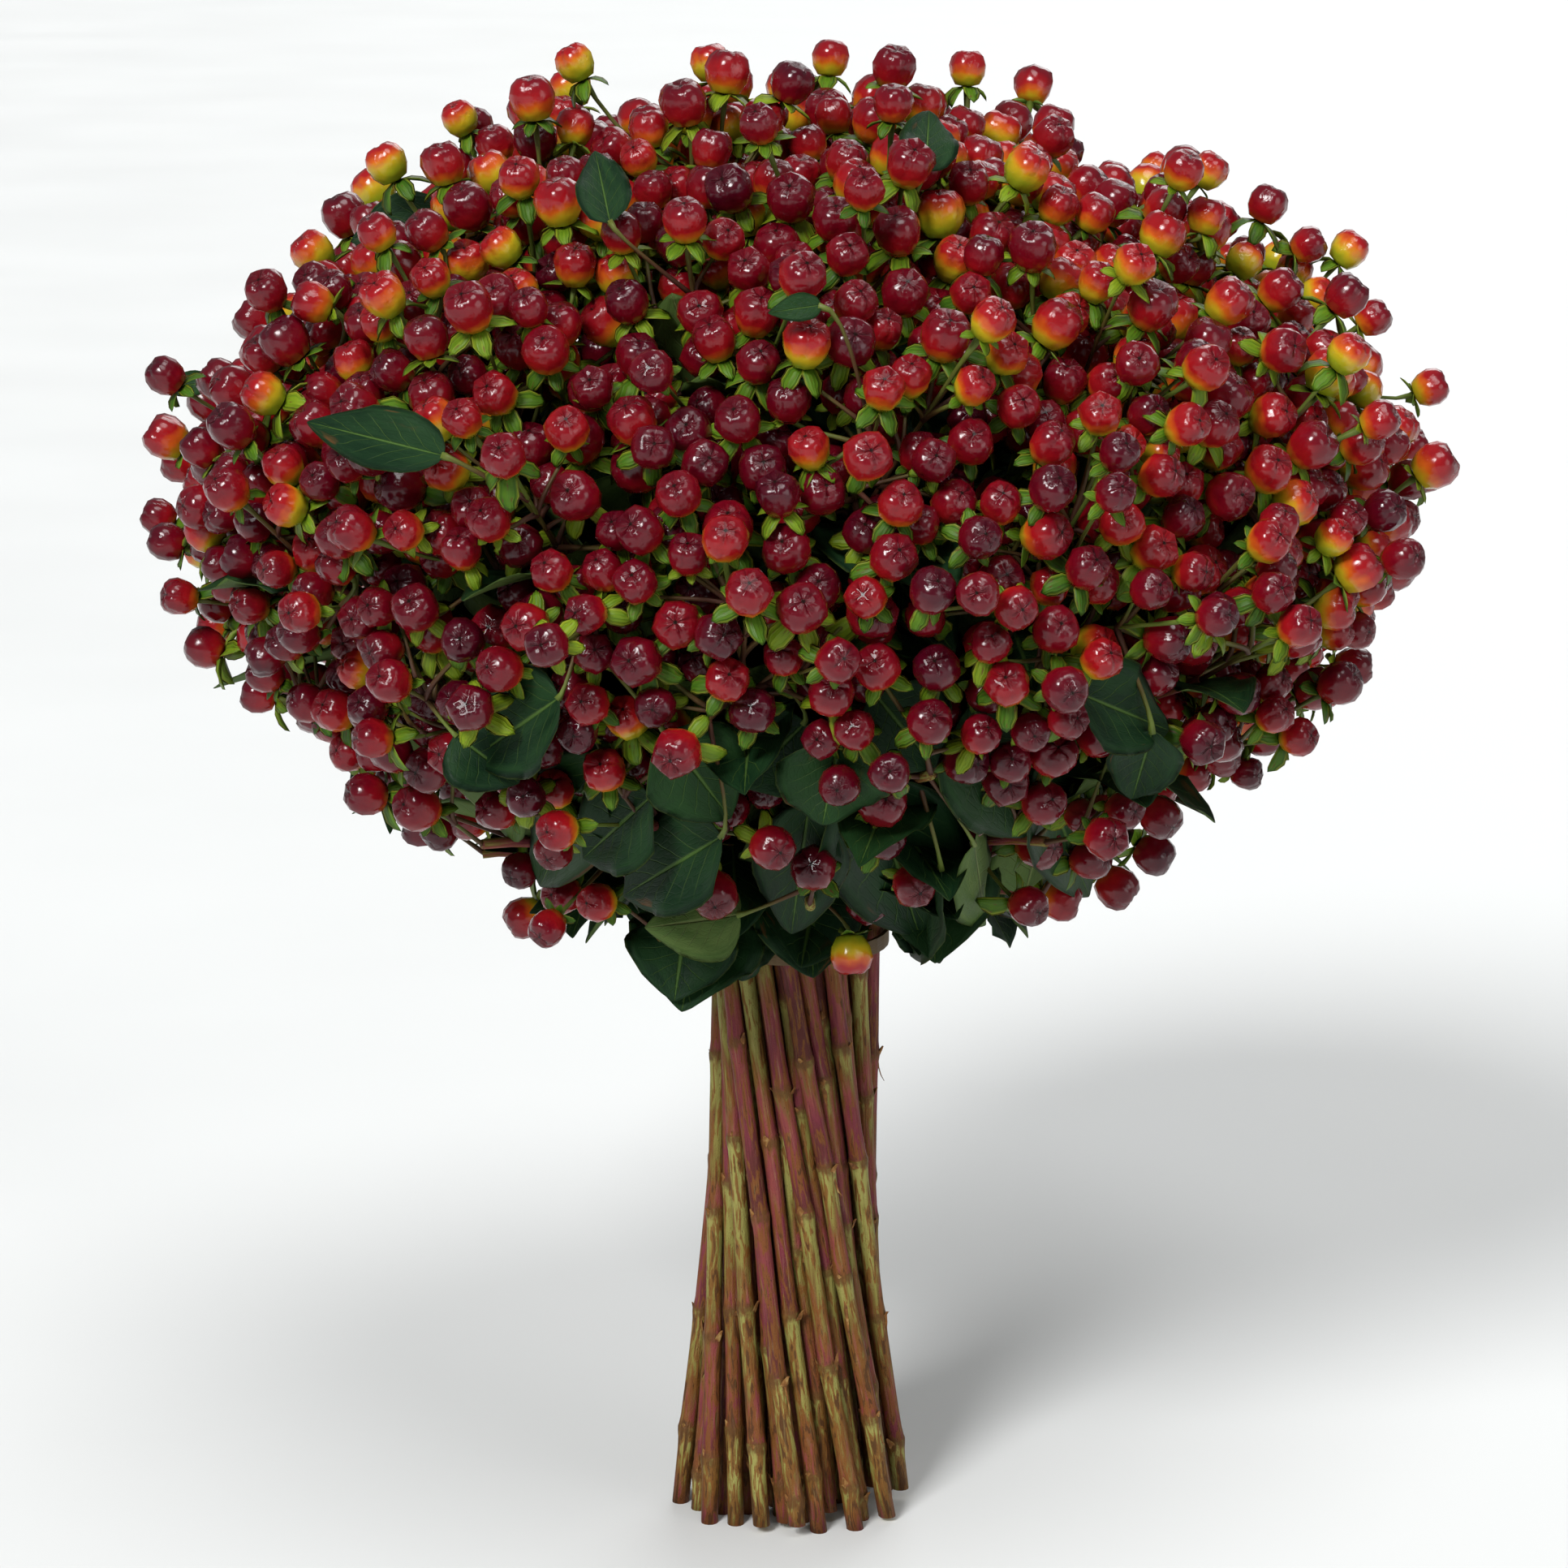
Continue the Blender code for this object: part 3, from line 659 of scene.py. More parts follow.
# %% More leaves round the neck and under the head
HANGING_LEAF = {"stretch": 0.030, "turn": 0.5, "rise": (-82, -50), "length": (0.036, 0.054)}
LOW_LEAF = {"stretch": 0.120, "turn": 0.8, "rise": (-60, 0), "length": (0.056, 0.080)}
SIDE_LEAF = {"stretch": 0.500, "turn": 1.1, "rise": (-30, 60), "length": (0.040, 0.062)}
NEAR_ROOM = 0.0004
NEAR_SAMPLES = 12
MORE_TRIES = 60
ROUTE_POINTS = 160
SMOOTH_KNOTS = 25
BROADER = 1.22
BROAD_OVAL = (0.67, 0.78)


def more_leaves(crowd):
    """Leaves over the tie and under and inside the head, each clear of what was there before."""
    random = np.random.RandomState(SEED + 40)
    inwards = list(reversed(range(STEM_COUNT)))
    outer = [stem for stem in inwards if stem > OUTER_STEMS]
    turns = [(stem, HANGING_LEAF) for stem in outer]
    turns += [(stem, LOW_LEAF) for stem in outer for _ in range(2)]
    turns += [(stem, SIDE_LEAF) for stem in inwards]
    found = []
    for stem, kind in turns:
        for _ in range(MORE_TRIES):
            leaf = draw_leaf(random, stem, smooth_routes[stem], False, kind)
            leaf.width *= BROADER
            leaf.swell, leaf.blunt = BROAD_OVAL
            leaf = shortened(random, leaf)
            points = leaf.samples()
            if within_head(points) and crowd.is_clear(points[NEAR_SAMPLES:], NEAR_ROOM):
                crowd.add(points, BLADE_ROOM, stem)
                found.append((stem, leaf))
                break
    return found


def reseat(random, stem, leaf):
    """Moves a leaf of the solids onto its smooth stem."""
    route = smooth_routes[stem]
    marks = np.linspace(route_length(route[:2]) - 0.02, route_length(route), ROUTE_POINTS)
    points = along(route, marks)
    leaf.base = points[np.linalg.norm(points - leaf.base, axis=1).argmin()]
    return stem, shortened(random, leaf)


knots = np.linspace(0, 1, SMOOTH_KNOTS)
smooth_routes = [stem_route(number, seat, knots) for number, seat in enumerate(seats)]
leaf_random = np.random.RandomState(SEED + 39)
seen_leaves = [clear_seen_leaf(leaf_random, entry, crowd) for entry in SEEN_LEAVES]
main_leaves = [reseat(leaf_random, stem, leaf) for stem, leaf in leaves]
added_leaves = more_leaves(crowd)
print(len(added_leaves) + len(seen_leaves), "leaves added to", len(main_leaves))

# %% [markdown]
# ## The rest of the berries
#
# The solids carry about 200 berries, one in ten of those that fill the head. The others are thrown in one
# by one at random depths below the head's outline, and a throw counts only where it misses all the berries
# before it. That is how a real head fills up: an even crowd with no rows, and darker berries behind.

# %% Fill the head
FILL_COUNT = 1780
FILL_TRIES = 30000
FILL_DIAMETERS = (0.0120, 0.0156)
FILL_DEPTH = 0.036
FILL_SQUEEZE = 0.97
FILL_TILT = 0.42
DEPTH_POWER = 1.6
LEAF_SQUEEZE = 0.46
FULL_ABOVE = 0.306
SPARE_RANGE = 0.070
SPAREST = 0.12
UPWARD_NOD = np.array([0, 0, 0.1])
OUTSTANDING_TILT = 0.3
OUTSTANDING_SQUEEZE = 0.9
BERRY_LENGTH = 1.02
BERRY_REACH = 0.545

# Columns, rows and depths of berries that stand out from the outline, and their diameters in mm
OUTSTANDING = (
    (709, 68, -0.02, 12.6), (875, 62, -0.02, 12.6), (566, 146, -0.01, 11.6), (976, 102, -0.05, 13.4),
    (1140, 132, 0.00, 10.8), (1255, 178, -0.02, 11.2), (1308, 170, -0.02, 12.6), (1502, 274, 0.00, 13.0),
    (1612, 302, 0.00, 12.0), (1768, 478, 0.00, 12.4), (1766, 585, 0.00, 11.6), (1713, 698, 0.00, 12.4),
    (1634, 851, -0.01, 11.8), (1549, 913, -0.03, 12.6), (1536, 953, -0.03, 10.8), (200, 622, 0.00, 12.4),
    (206, 668, -0.02, 13.0), (253, 798, -0.02, 14.0), (346, 856, -0.04, 13.0), (389, 880, -0.05, 12.8),
    (487, 957, -0.04, 12.8), (578, 1013, -0.06, 12.0), (641, 1072, -0.06, 12.0), (624, 963, -0.07, 11.2),
    (753, 1018, -0.10, 12.0), (826, 1026, -0.11, 11.4), (1032, 1083, -0.09, 10.8),
    (1191, 1009, -0.11, 14.0), (1280, 1043, -0.08, 14.6), (1291, 963, -0.10, 13.4),
)


class BerryPile:
    """All berries so far, with their places and sizes side by side for quick tests."""

    def __init__(self, fruit):
        self.fruit = list(fruit)
        self.centres = np.array([berry["centre"] for berry in fruit])
        self.halves = np.array([berry["diameter"] / 2 for berry in fruit])

    def has_room(self, centre, half):
        gaps = np.linalg.norm(self.centres - centre, axis=1)
        return bool((gaps > (self.halves + half) * FILL_SQUEEZE).all())

    def add(self, berry):
        self.fruit.append(berry)
        self.centres = np.vstack([self.centres, berry["centre"]])
        self.halves = np.append(self.halves, berry["diameter"] / 2)


def in_box(centre, reach):
    return bool((centre - reach > BOX_LOW).all() and (centre + reach < BOX_HIGH).all())


def outline_depth(fruit):
    """How far the berry's top lies below the head's outline, seen from the middle of the head."""
    middle = np.array([0, 0, FACING_Z])
    outline = np.array([head_outline(turn) for turn in AREA_TURNS]) - (0, FACING_Z)
    angles = np.arctan2(outline[:, 0], outline[:, 1])
    reaches = np.hypot(outline[:, 0], outline[:, 1])
    way = fruit["centre"] - middle
    angle = math.atan2(math.hypot(way[0], way[1]), way[2])
    return float(np.interp(angle, angles, reaches)) - np.linalg.norm(way) - fruit["diameter"] / 2


# The solids' berries stand at the tips of sprays, and the small ones fall away round each spray
SPRAY_REACH = (0.010, 0.027)
SPRAY_DROP = 0.015
DIP_DEPTH = 0.006
SHOULDER_MM, SHOULDER_SPREAD_MM = 452, 34
SPRAY_HEIGHT = 0.010
SPRAY_ABOVE = -0.004
BEHIND_SPRAY = 0.001
SPRAY_TOPS = np.array([fruit["centre"] + facing(fruit["centre"]) * SPRAY_HEIGHT for fruit in main_fruit])
SPRAY_DEPTHS = np.array([max(outline_depth(fruit), SPRAY_ABOVE) for fruit in main_fruit])


def hollow(outline):
    """How far the small berries lie below a point of the outline, between sprays and in gentle dips."""
    x, y, z = outline * 1000
    gaps = np.linalg.norm(SPRAY_TOPS - outline, axis=1)
    away = np.interp(gaps.min(), SPRAY_REACH, (0, 1))
    away = away * away * (3 - 2 * away)
    long_waves = math.sin(x / 21 + 1.3) * math.cos(z / 26)
    cross_waves = math.sin(y / 23 + x / 47) * math.cos(y / 30 + z / 19)
    dips = 0.5 + 0.25 * (long_waves + cross_waves)
    shoulder = math.exp(-(((z - SHOULDER_MM) / SHOULDER_SPREAD_MM) ** 2))
    near = SPRAY_DEPTHS[gaps.argmin()] + BEHIND_SPRAY
    return near * (1 - away) + SPRAY_DROP * away + DIP_DEPTH * dips + DIP_DEPTH * shoulder * away


def fill_head(pile, crowd):
    """Adds berries at random under the outline, until enough have found room."""
    random = np.random.RandomState(SEED + 10)
    for column, row, depth, width in OUTSTANDING:
        centre = seen_at(column, row, depth)
        half = width / 2000
        reach = 2 * half * BERRY_REACH
        centre = np.clip(centre, BOX_LOW + reach, BOX_HIGH - reach)
        nod = unit(facing(centre) + random.uniform(-OUTSTANDING_TILT, OUTSTANDING_TILT, 3))
        if pile.has_room(centre, half * OUTSTANDING_SQUEEZE):
            pile.add({"centre": centre, "diameter": 2 * half, "nod": nod})
    wanted = len(pile.fruit) + FILL_COUNT
    for _ in range(FILL_TRIES):
        share, deep, keep = random.uniform(size=3)
        azimuth = random.uniform(0, 2 * math.pi)
        diameter = random.uniform(*FILL_DIAMETERS)
        tilt = random.uniform(-FILL_TILT, FILL_TILT, 3)
        outline = head_point(share, azimuth)
        if keep > max(1 - (FULL_ABOVE - outline[2]) / SPARE_RANGE, SPAREST):
            continue
        depth = diameter / 2 + hollow(outline) + FILL_DEPTH * deep**DEPTH_POWER
        centre = outline - facing(outline) * depth
        if not in_box(centre, diameter * BERRY_REACH):
            continue
        if pile.has_room(centre, diameter / 2) and crowd.is_clear(centre[None], diameter * LEAF_SQUEEZE):
            nod = unit(facing(centre) + tilt + UPWARD_NOD)
            pile.add({"centre": centre, "diameter": diameter, "nod": nod})
        if len(pile.fruit) == wanted:
            break


pile = BerryPile(main_fruit)
fill_head(pile, crowd)

# One of the solids' berries hangs over the front of the tie. It is the unripe one of the photograph
HANGING_PLACE = seen_at(1048, 1176, -0.091)
HANGING_NOD = np.array([0.05, -0.22, -1])
hanging = min(main_fruit, key=lambda berry: np.linalg.norm(berry["centre"] - HANGING_PLACE))
print("hanging berry moved by", (1000 * (HANGING_PLACE - hanging["centre"])).round(1), "mm")
hanging.update(centre=HANGING_PLACE, nod=unit(HANGING_NOD), diameter=0.0138, ripe=0.36)

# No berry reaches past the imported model's box
for berry in pile.fruit:
    reach = berry["diameter"] * BERRY_REACH
    berry["centre"] = np.clip(berry["centre"], BOX_LOW + reach, BOX_HIGH - reach)
print(len(pile.fruit), "berries in all")

# %% [markdown]
# ## Shoots that follow paths
#
# Stems and twigs are round shoots along a path. Each path is a chain of points that carry the shoot's
# thickness and growth marks as attributes. Geometry Nodes turn the chain into a curve and sweep a circle
# along it. A curve object with a bevel could do that too, but the node tree also keeps the attributes, so
# the bark's pattern can follow the wood.


# %% Helpers for points with attributes, and for node trees
def points_mesh(name, places, edges=(), faces=(), **values):
    """A mesh with one attribute for each named value, a number or a vector a point."""
    mesh = bpy.data.meshes.new(name)
    mesh.from_pydata(np.asarray(places).tolist(), list(edges), list(faces))
    for key, value in values.items():
        value = np.asarray(value, float)
        is_vector = value.ndim == 2
        layer = mesh.attributes.new(key, "FLOAT_VECTOR" if is_vector else "FLOAT", "POINT")
        layer.data.foreach_set("vector" if is_vector else "value", value.ravel())
    return mesh


def shape_in(collection, name, places, faces, **values):
    """A small shape that a tree sets on points, kept in a collection of its kind."""
    mesh = points_mesh(name, places, (), faces, **values)
    collection.objects.link(bpy.data.objects.new(name, mesh))
    return mesh


def vertex_places(mesh):
    places = np.empty(len(mesh.vertices) * 3)
    mesh.vertices.foreach_get("co", places)
    return places.reshape(-1, 3)


def move_vertices(mesh, places):
    mesh.vertices.foreach_set("co", places.ravel())
    mesh.update()


def keep_in_box(mesh):
    """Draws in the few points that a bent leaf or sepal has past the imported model's box."""
    places = vertex_places(mesh)
    inside = np.clip(places, BOX_LOW + 1e-5, BOX_HIGH - 1e-5)
    move_vertices(mesh, inside)
    return int((inside != places).any(axis=1).sum())


class Tree:
    """A Geometry Nodes tree under construction, with named inputs."""

    def __init__(self, name, **inputs):
        self.tree = bpy.data.node_groups.new(name, "GeometryNodeTree")
        self.tree.is_modifier = True
        panel = self.tree.interface
        panel.new_socket(name="Geometry", in_out="OUTPUT", socket_type="NodeSocketGeometry")
        for title, kind in {"Geometry": "Geometry", **inputs}.items():
            panel.new_socket(name=title, in_out="INPUT", socket_type="NodeSocket" + kind)
        self.entry = self.tree.nodes.new("NodeGroupInput").outputs
        self.exit = self.tree.nodes.new("NodeGroupOutput").inputs

    def node(self, kind, inputs=None, **settings):
        """Adds a node, fed with sockets or plain values, and returns its first output."""
        made = self.tree.nodes.new(kind)
        for key, value in settings.items():
            setattr(made, key, value)
        for key, value in (inputs or {}).items():
            if isinstance(value, bpy.types.NodeSocket):
                self.tree.links.new(value, made.inputs[key])
            else:
                made.inputs[key].default_value = value
        return made.outputs[0]

    def attribute(self, name, kind="FLOAT"):
        return self.node("GeometryNodeInputNamedAttribute", {"Name": name}, data_type=kind)

    def end(self, geometry):
        """Realizes what repeats, sets the material and closes the tree."""
        real = self.node("GeometryNodeRealizeInstances", {"Geometry": geometry})
        finish = {"Geometry": real, "Material": self.entry["Material"]}
        self.tree.links.new(self.node("GeometryNodeSetMaterial", finish), self.exit["Geometry"])
        return self.tree


BUILT_IN = ("position", "material_index", "sharp_face", ".edge_verts", ".corner_vert", ".corner_edge")


def grown(name, source, tree, keep=(), **inputs):
    """Runs a tree on a source mesh and returns the result as a plain object at the origin."""
    guide = new_object(name + "_guide", source)
    modifier = guide.modifiers.new("grow", "NODES")
    modifier.node_group = tree
    sockets = {item.name: item.identifier for item in tree.interface.items_tree if item.in_out == "INPUT"}
    for title, value in inputs.items():
        modifier[sockets[title]] = value
    graph = bpy.context.evaluated_depsgraph_get()
    mesh = bpy.data.meshes.new_from_object(guide.evaluated_get(graph), depsgraph=graph)
    bpy.data.objects.remove(guide)
    mesh.name = name
    for layer in [layer.name for layer in mesh.attributes if layer.name not in BUILT_IN + tuple(keep)]:
        mesh.attributes.remove(mesh.attributes[layer])
    return new_object(name, mesh)


def triangle_count(mesh):
    return sum(len(face.vertices) - 2 for face in mesh.polygons)


def ride_along(piece):
    """The piece moves with the bunch, and its count of triangles is printed."""
    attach(piece, "root")
    print(piece.name, triangle_count(piece.data), "triangles")


# %% The tree for round shoots
def shoot_tree():
    """Sweeps a circle along chains of points. Attribute thick is the radius at each point."""
    tree = Tree("round_shoots", Sides="Int", Material="Material")
    curve = tree.node("GeometryNodeMeshToCurve", {"Mesh": tree.entry["Geometry"]})
    size = {"Resolution": tree.entry["Sides"], "Radius": 1.0}
    circle = tree.node("GeometryNodeCurvePrimitiveCircle", size)
    place = tree.node("GeometryNodeInputPosition")
    circle = tree.node(
        "GeometryNodeStoreNamedAttribute",
        {"Geometry": circle, "Name": "around", "Value": place},
        data_type="FLOAT_VECTOR",
    )
    sweep = tree.node(
        "GeometryNodeCurveToMesh",
        {"Curve": curve, "Profile Curve": circle, "Scale": tree.attribute("thick"), "Fill Caps": True},
    )
    smooth = tree.node("GeometryNodeSetShadeSmooth", {"Geometry": sweep})
    return tree.end(smooth)


SHOOTS = shoot_tree()
print("shoot tree:", len(SHOOTS.nodes), "nodes")

# %% [markdown]
# ## Woody stems
#
# A hypericum stem swells a little at every joint, where a pair of leaves stood, and its colour changes
# there: pale green just below a joint, then mauve and red-brown further down. So each path gets its joints
# first, with closely set points about them, and attributes say how far each point lies from a joint.

# %% Paths of the stems
JOINT_SPACING = (0.036, 0.060)
JOINT_PROFILE = (
    # distance from the joint, thickness there
    (-0.0075, 0.96), (-0.0035, 1.02), (-0.0012, 1.13), (0.0003, 1.17), (0.0014, 1.08), (0.0045, 0.98),
)
BETWEEN_JOINTS = 0.94
STEM_STEP = 0.015
STEM_SWAY = 0.00045
STRAIGHT_FOOT = 0.004
TIP_RADIUS = 0.0016
FIRST_JOINT = (0.006, 0.045)
JOINTS_UP_TO = 0.40
JOINT_ENDS = (-0.013, 0.011)
JOINT_EDGE = 0.0004
KNUCKLE_REACH = 0.006
TOP_WITHOUT_JOINT = 0.01
FOOT_WITHOUT_POINT = 0.003
FOOT_SWELL = 1.06
FOOT_SWELL_LENGTH = 0.08


def stem_marks(random, length):
    """Joints up a stem, and the marks along it at which its path has a point."""
    joints = [random.uniform(*FIRST_JOINT)]
    while joints[-1] < length:
        joints.append(joints[-1] + random.uniform(*JOINT_SPACING))
    top = min(length - TOP_WITHOUT_JOINT, JOINTS_UP_TO)
    joints = np.array([joint for joint in joints if joint < top])
    close = [joint + offset for joint in joints for offset, _ in JOINT_PROFILE]
    even = [mark for mark in np.arange(0, length, STEM_STEP) if np.abs(joints - mark).min() > JOINT_ENDS[1]]
    marks = [mark for mark in close + even if FOOT_WITHOUT_POINT < mark < length]
    return joints, np.array(sorted(marks + [0, length]))


def stem_path(random, number, route, radius, cut_height):
    """Points and attributes of one stem, from its cut end to its tip, and its joints."""
    tilt = unit(route[1] - route[0])
    start = (cut_height - route[0][2]) / tilt[2]
    length = route_length(route) - start
    joints, marks = stem_marks(random, length)
    offsets, swells = zip(*JOINT_PROFILE)
    near = np.abs(marks[:, None] - joints[None]).argmin(axis=1)
    offset = marks - joints[near]
    far_below, far_above = JOINT_ENDS
    ends = (far_below, *offsets, far_above)
    swell = np.interp(offset, ends, (BETWEEN_JOINTS, *swells, BETWEEN_JOINTS))
    above = np.searchsorted(joints, marks - JOINT_EDGE)
    tops = np.append(joints, length)[above]
    bottoms = np.concatenate([[0], joints])[above]
    straight = route_length(route[:2]) - start
    taper = np.clip((marks - straight) / (length - straight), 0, 1)
    thick = radius * swell * (1 + (FOOT_SWELL - 1) * np.clip(1 - marks / FOOT_SWELL_LENGTH, 0, 1))
    thick = thick + (TIP_RADIUS - thick) * taper
    bend = np.interp(marks, np.concatenate([[0], joints, [length]]), np.arange(len(joints) + 2) % 2)
    side = unit(np.cross(tilt, [math.cos(number * 2.4), math.sin(number * 2.4), 0.3]))
    sway = (bend - 0.5) * 2 * STEM_SWAY * (marks > STRAIGHT_FOOT)
    places = along(route, marks + start) + side * sway[:, None]
    tints = random.uniform(size=len(joints) + 1)
    values = {
        "thick": thick,
        "along": marks,
        "below_joint": tops - marks,
        "internode": tops - bottoms,
        "tint": tints[above],
        "knuckle": np.clip(1 - np.abs(offset) / KNUCKLE_REACH, 0, 1),
        "whose": np.full(len(marks), random.uniform()),
    }
    return places, values, along(route, joints + start)


def chain(lists):
    """Joins chains of points with their attributes into one set of points and edges."""
    places, edges, values = [], [], {}
    for points, marks in lists:
        edges += [(len(places) + k, len(places) + k + 1) for k in range(len(points) - 1)]
        places += list(points)
        for key, value in marks.items():
            values.setdefault(key, []).extend(value)
    return places, edges, values


stem_random = np.random.RandomState(SEED + 20)
stem_paths = [
    stem_path(stem_random, number, route, radii[number], height)
    for number, (route, height) in enumerate(zip(smooth_routes, foot_heights()))
]
stem_places, stem_edges, stem_values = chain([(path[0], path[1]) for path in stem_paths])

# %% [markdown]
# ## Materials, node by node
#
# Every finish is worked out from attributes that the pieces carry, or from their own coordinates, so it
# follows the growth of the thing itself: fibres run along the bark, veins sweep towards a leaf's tip, and
# each berry ripens from its crown. A small helper adds the nodes, because the same few kinds come back.


# %% Helper for materials
class Finish:
    """A material under construction. Every call adds a node and returns the socket to go on with."""

    def __init__(self, name, **constants):
        self.material = bpy.data.materials.new(name)
        self.material.use_nodes = True
        self.nodes = self.material.node_tree.nodes
        self.links = self.material.node_tree.links
        self.shader = self.nodes["Principled BSDF"].inputs
        for title, value in constants.items():
            self.shader[title.replace("_", " ")].default_value = value

    def node(self, kind, inputs, out=0, **settings):
        made = self.nodes.new("ShaderNode" + kind)
        for key, value in settings.items():
            setattr(made, key, value)
        for key, value in inputs.items():
            if isinstance(value, bpy.types.NodeSocket):
                self.links.new(value, made.inputs[key])
            else:
                made.inputs[key].default_value = value
        return made.outputs[out]

    def value(self, name):
        return self.node("Attribute", {}, "Fac", attribute_name=name)

    def vector(self, name):
        return self.node("Attribute", {}, "Vector", attribute_name=name)

    def sum(self, kind, first, second=0.0, third=0.0):
        return self.node("Math", {0: first, 1: second, 2: third}, operation=kind)

    def times(self, first, second):
        return self.sum("MULTIPLY", first, second)

    def plus(self, first, second):
        return self.sum("ADD", first, second)

    def less(self, first, second):
        return self.sum("SUBTRACT", first, second)

    def moved(self, vector, by):
        return self.node("VectorMath", {0: vector, 1: by}, operation="ADD")

    def stretched(self, vector, along_each_axis):
        return self.node("VectorMath", {0: vector, 1: along_each_axis}, operation="MULTIPLY")

    def scaled(self, vector, by):
        return self.node("VectorMath", {0: vector, "Scale": by}, operation="SCALE")

    def parts(self, vector):
        return [self.node("SeparateXYZ", {0: vector}, axis) for axis in "XYZ"]

    def start(self, chance, second, third, spread):
        """A far place in the noise for each berry, leaf or stem, from its own chance."""
        return self.scaled(self.node("CombineXYZ", {0: chance, 1: second, 2: third}), spread)

    def step(self, value, low, high, start=0.0, end=1.0):
        """Goes smoothly from start to end while value goes from low to high."""
        inputs = {"Value": value, "From Min": low, "From Max": high, "To Min": start, "To Max": end}
        return self.node("MapRange", inputs, interpolation_type="SMOOTHSTEP")

    def noise(self, vector, scale, detail=3.0, distortion=0.0):
        inputs = {"Vector": vector, "Scale": scale, "Detail": detail, "Distortion": distortion}
        return self.node("TexNoise", inputs)

    def mix(self, share, first, second):
        """Mixes two colours, given as sockets or as red, green and blue."""
        first, second = [c if isinstance(c, bpy.types.NodeSocket) else (*c, 1) for c in (first, second)]
        inputs = {0: share, 6: first, 7: second}
        return self.node("Mix", inputs, 2, data_type="RGBA")

    def ramp(self, value, *stops):
        made = self.node("ValToRGB", {"Fac": value})
        elements = made.node.color_ramp.elements
        while len(elements) < len(stops):
            elements.new(0.5)
        for element, (place, colour) in zip(elements, stops):
            element.position, element.color = place, (*colour, 1)
        return made

    def bump(self, height, distance, strength=1.0):
        return self.node("Bump", {"Height": height, "Distance": distance, "Strength": strength})

    def end(self, colour, roughness, normal=None):
        self.links.new(colour, self.shader["Base Color"])
        self.links.new(roughness, self.shader["Roughness"])
        if normal is not None:
            self.links.new(normal, self.shader["Normal"])
        return self.material


# %% Bark
def bark_finish():
    """Pale green below each joint, then mauve or red-brown, with fibres, specks and dark joints."""
    f = Finish("bark", Specular_IOR_Level=0.18)
    lengthwise = f.node("CombineXYZ", {2: f.times(f.value("along"), 260.0)})
    start = f.start(f.value("whose"), 0.3, 0.7, 60.0)
    skin = f.moved(f.moved(f.scaled(f.vector("around"), 1.3), lengthwise), start)
    squeezed = f.stretched(skin, (1.0, 1.0, 0.10))
    fibres = f.noise(squeezed, 3.4, 4.0, 0.3)
    patches = f.noise(f.stretched(skin, (1.0, 1.0, 0.22)), 0.75, 3.0, 0.6)
    share = f.sum("DIVIDE", f.value("below_joint"), f.value("internode"))
    low_down = f.step(f.value("along"), 0.15, 0.0)
    turned = f.plus(f.times(share, 0.62), f.times(patches, 0.9))
    turned = f.plus(turned, f.times(f.value("tint"), 0.75))
    turned = f.less(turned, f.times(low_down, 0.26))
    colour = f.ramp(
        f.less(turned, 0.56),
        (0.0, (0.27, 0.255, 0.070)), (0.24, (0.21, 0.185, 0.042)), (0.38, (0.15, 0.085, 0.020)),
        (0.52, (0.21, 0.046, 0.040)), (0.74, (0.150, 0.024, 0.036)), (0.95, (0.085, 0.018, 0.015)),
    )
    stains = f.noise(f.stretched(skin, (1.0, 1.0, 0.30)), 1.35, 4.0, 0.8)
    stained = f.plus(stains, f.times(low_down, 0.10))
    colour = f.mix(f.step(stained, 0.50, 0.58, 0.0, 0.85), colour, (0.16, 0.056, 0.010))
    colour = f.mix(f.step(stained, 0.64, 0.70, 0.0, 0.8), colour, (0.055, 0.022, 0.007))
    colour = f.mix(f.step(fibres, 0.52, 0.75, 0.0, 0.45), colour, (0.07, 0.022, 0.011))
    colour = f.mix(f.step(fibres, 0.45, 0.25, 0.0, 0.25), colour, (0.36, 0.29, 0.12))
    specks = f.noise(skin, 5.5, 2.0)
    colour = f.mix(f.step(specks, 0.66, 0.74, 0.0, 0.85), colour, (0.045, 0.016, 0.008))
    joint = f.times(f.value("knuckle"), f.step(f.noise(skin, 1.6), 0.2, 0.8, 0.7, 1.3))
    colour = f.mix(f.step(joint, 0.45, 0.95, 0.0, 0.85), colour, (0.095, 0.040, 0.010))
    rough = f.step(fibres, 0.2, 0.8, 0.42, 0.68)
    relief = f.plus(f.times(fibres, 0.7), f.times(specks, 0.5))
    return f.end(colour, rough, f.bump(relief, 0.0005, 0.9))


def cut_wood_finish():
    """The pale end grain where a stem was cut, with its pith."""
    f = Finish("cut_wood", Specular_IOR_Level=0.3)
    place = f.node("TexCoord", {}, "Object")
    grain = f.noise(place, 900.0, 3.0)
    colour = f.ramp(grain, (0.3, (0.42, 0.33, 0.17)), (0.7, (0.60, 0.52, 0.32)))
    return f.end(colour, f.step(grain, 0.3, 0.7, 0.6, 0.85), f.bump(grain, 0.0003))


# %% Grow the stems
SIDES_OF_STEM = 12
CUTS_BELOW = 0.02

stems = grown(
    "woody_stems",
    points_mesh("stem_paths", stem_places, stem_edges, **stem_values),
    SHOOTS,
    keep=("around", "along", "below_joint", "internode", "tint", "knuckle", "whose"),
    Sides=SIDES_OF_STEM,
    Material=bark_finish(),
)


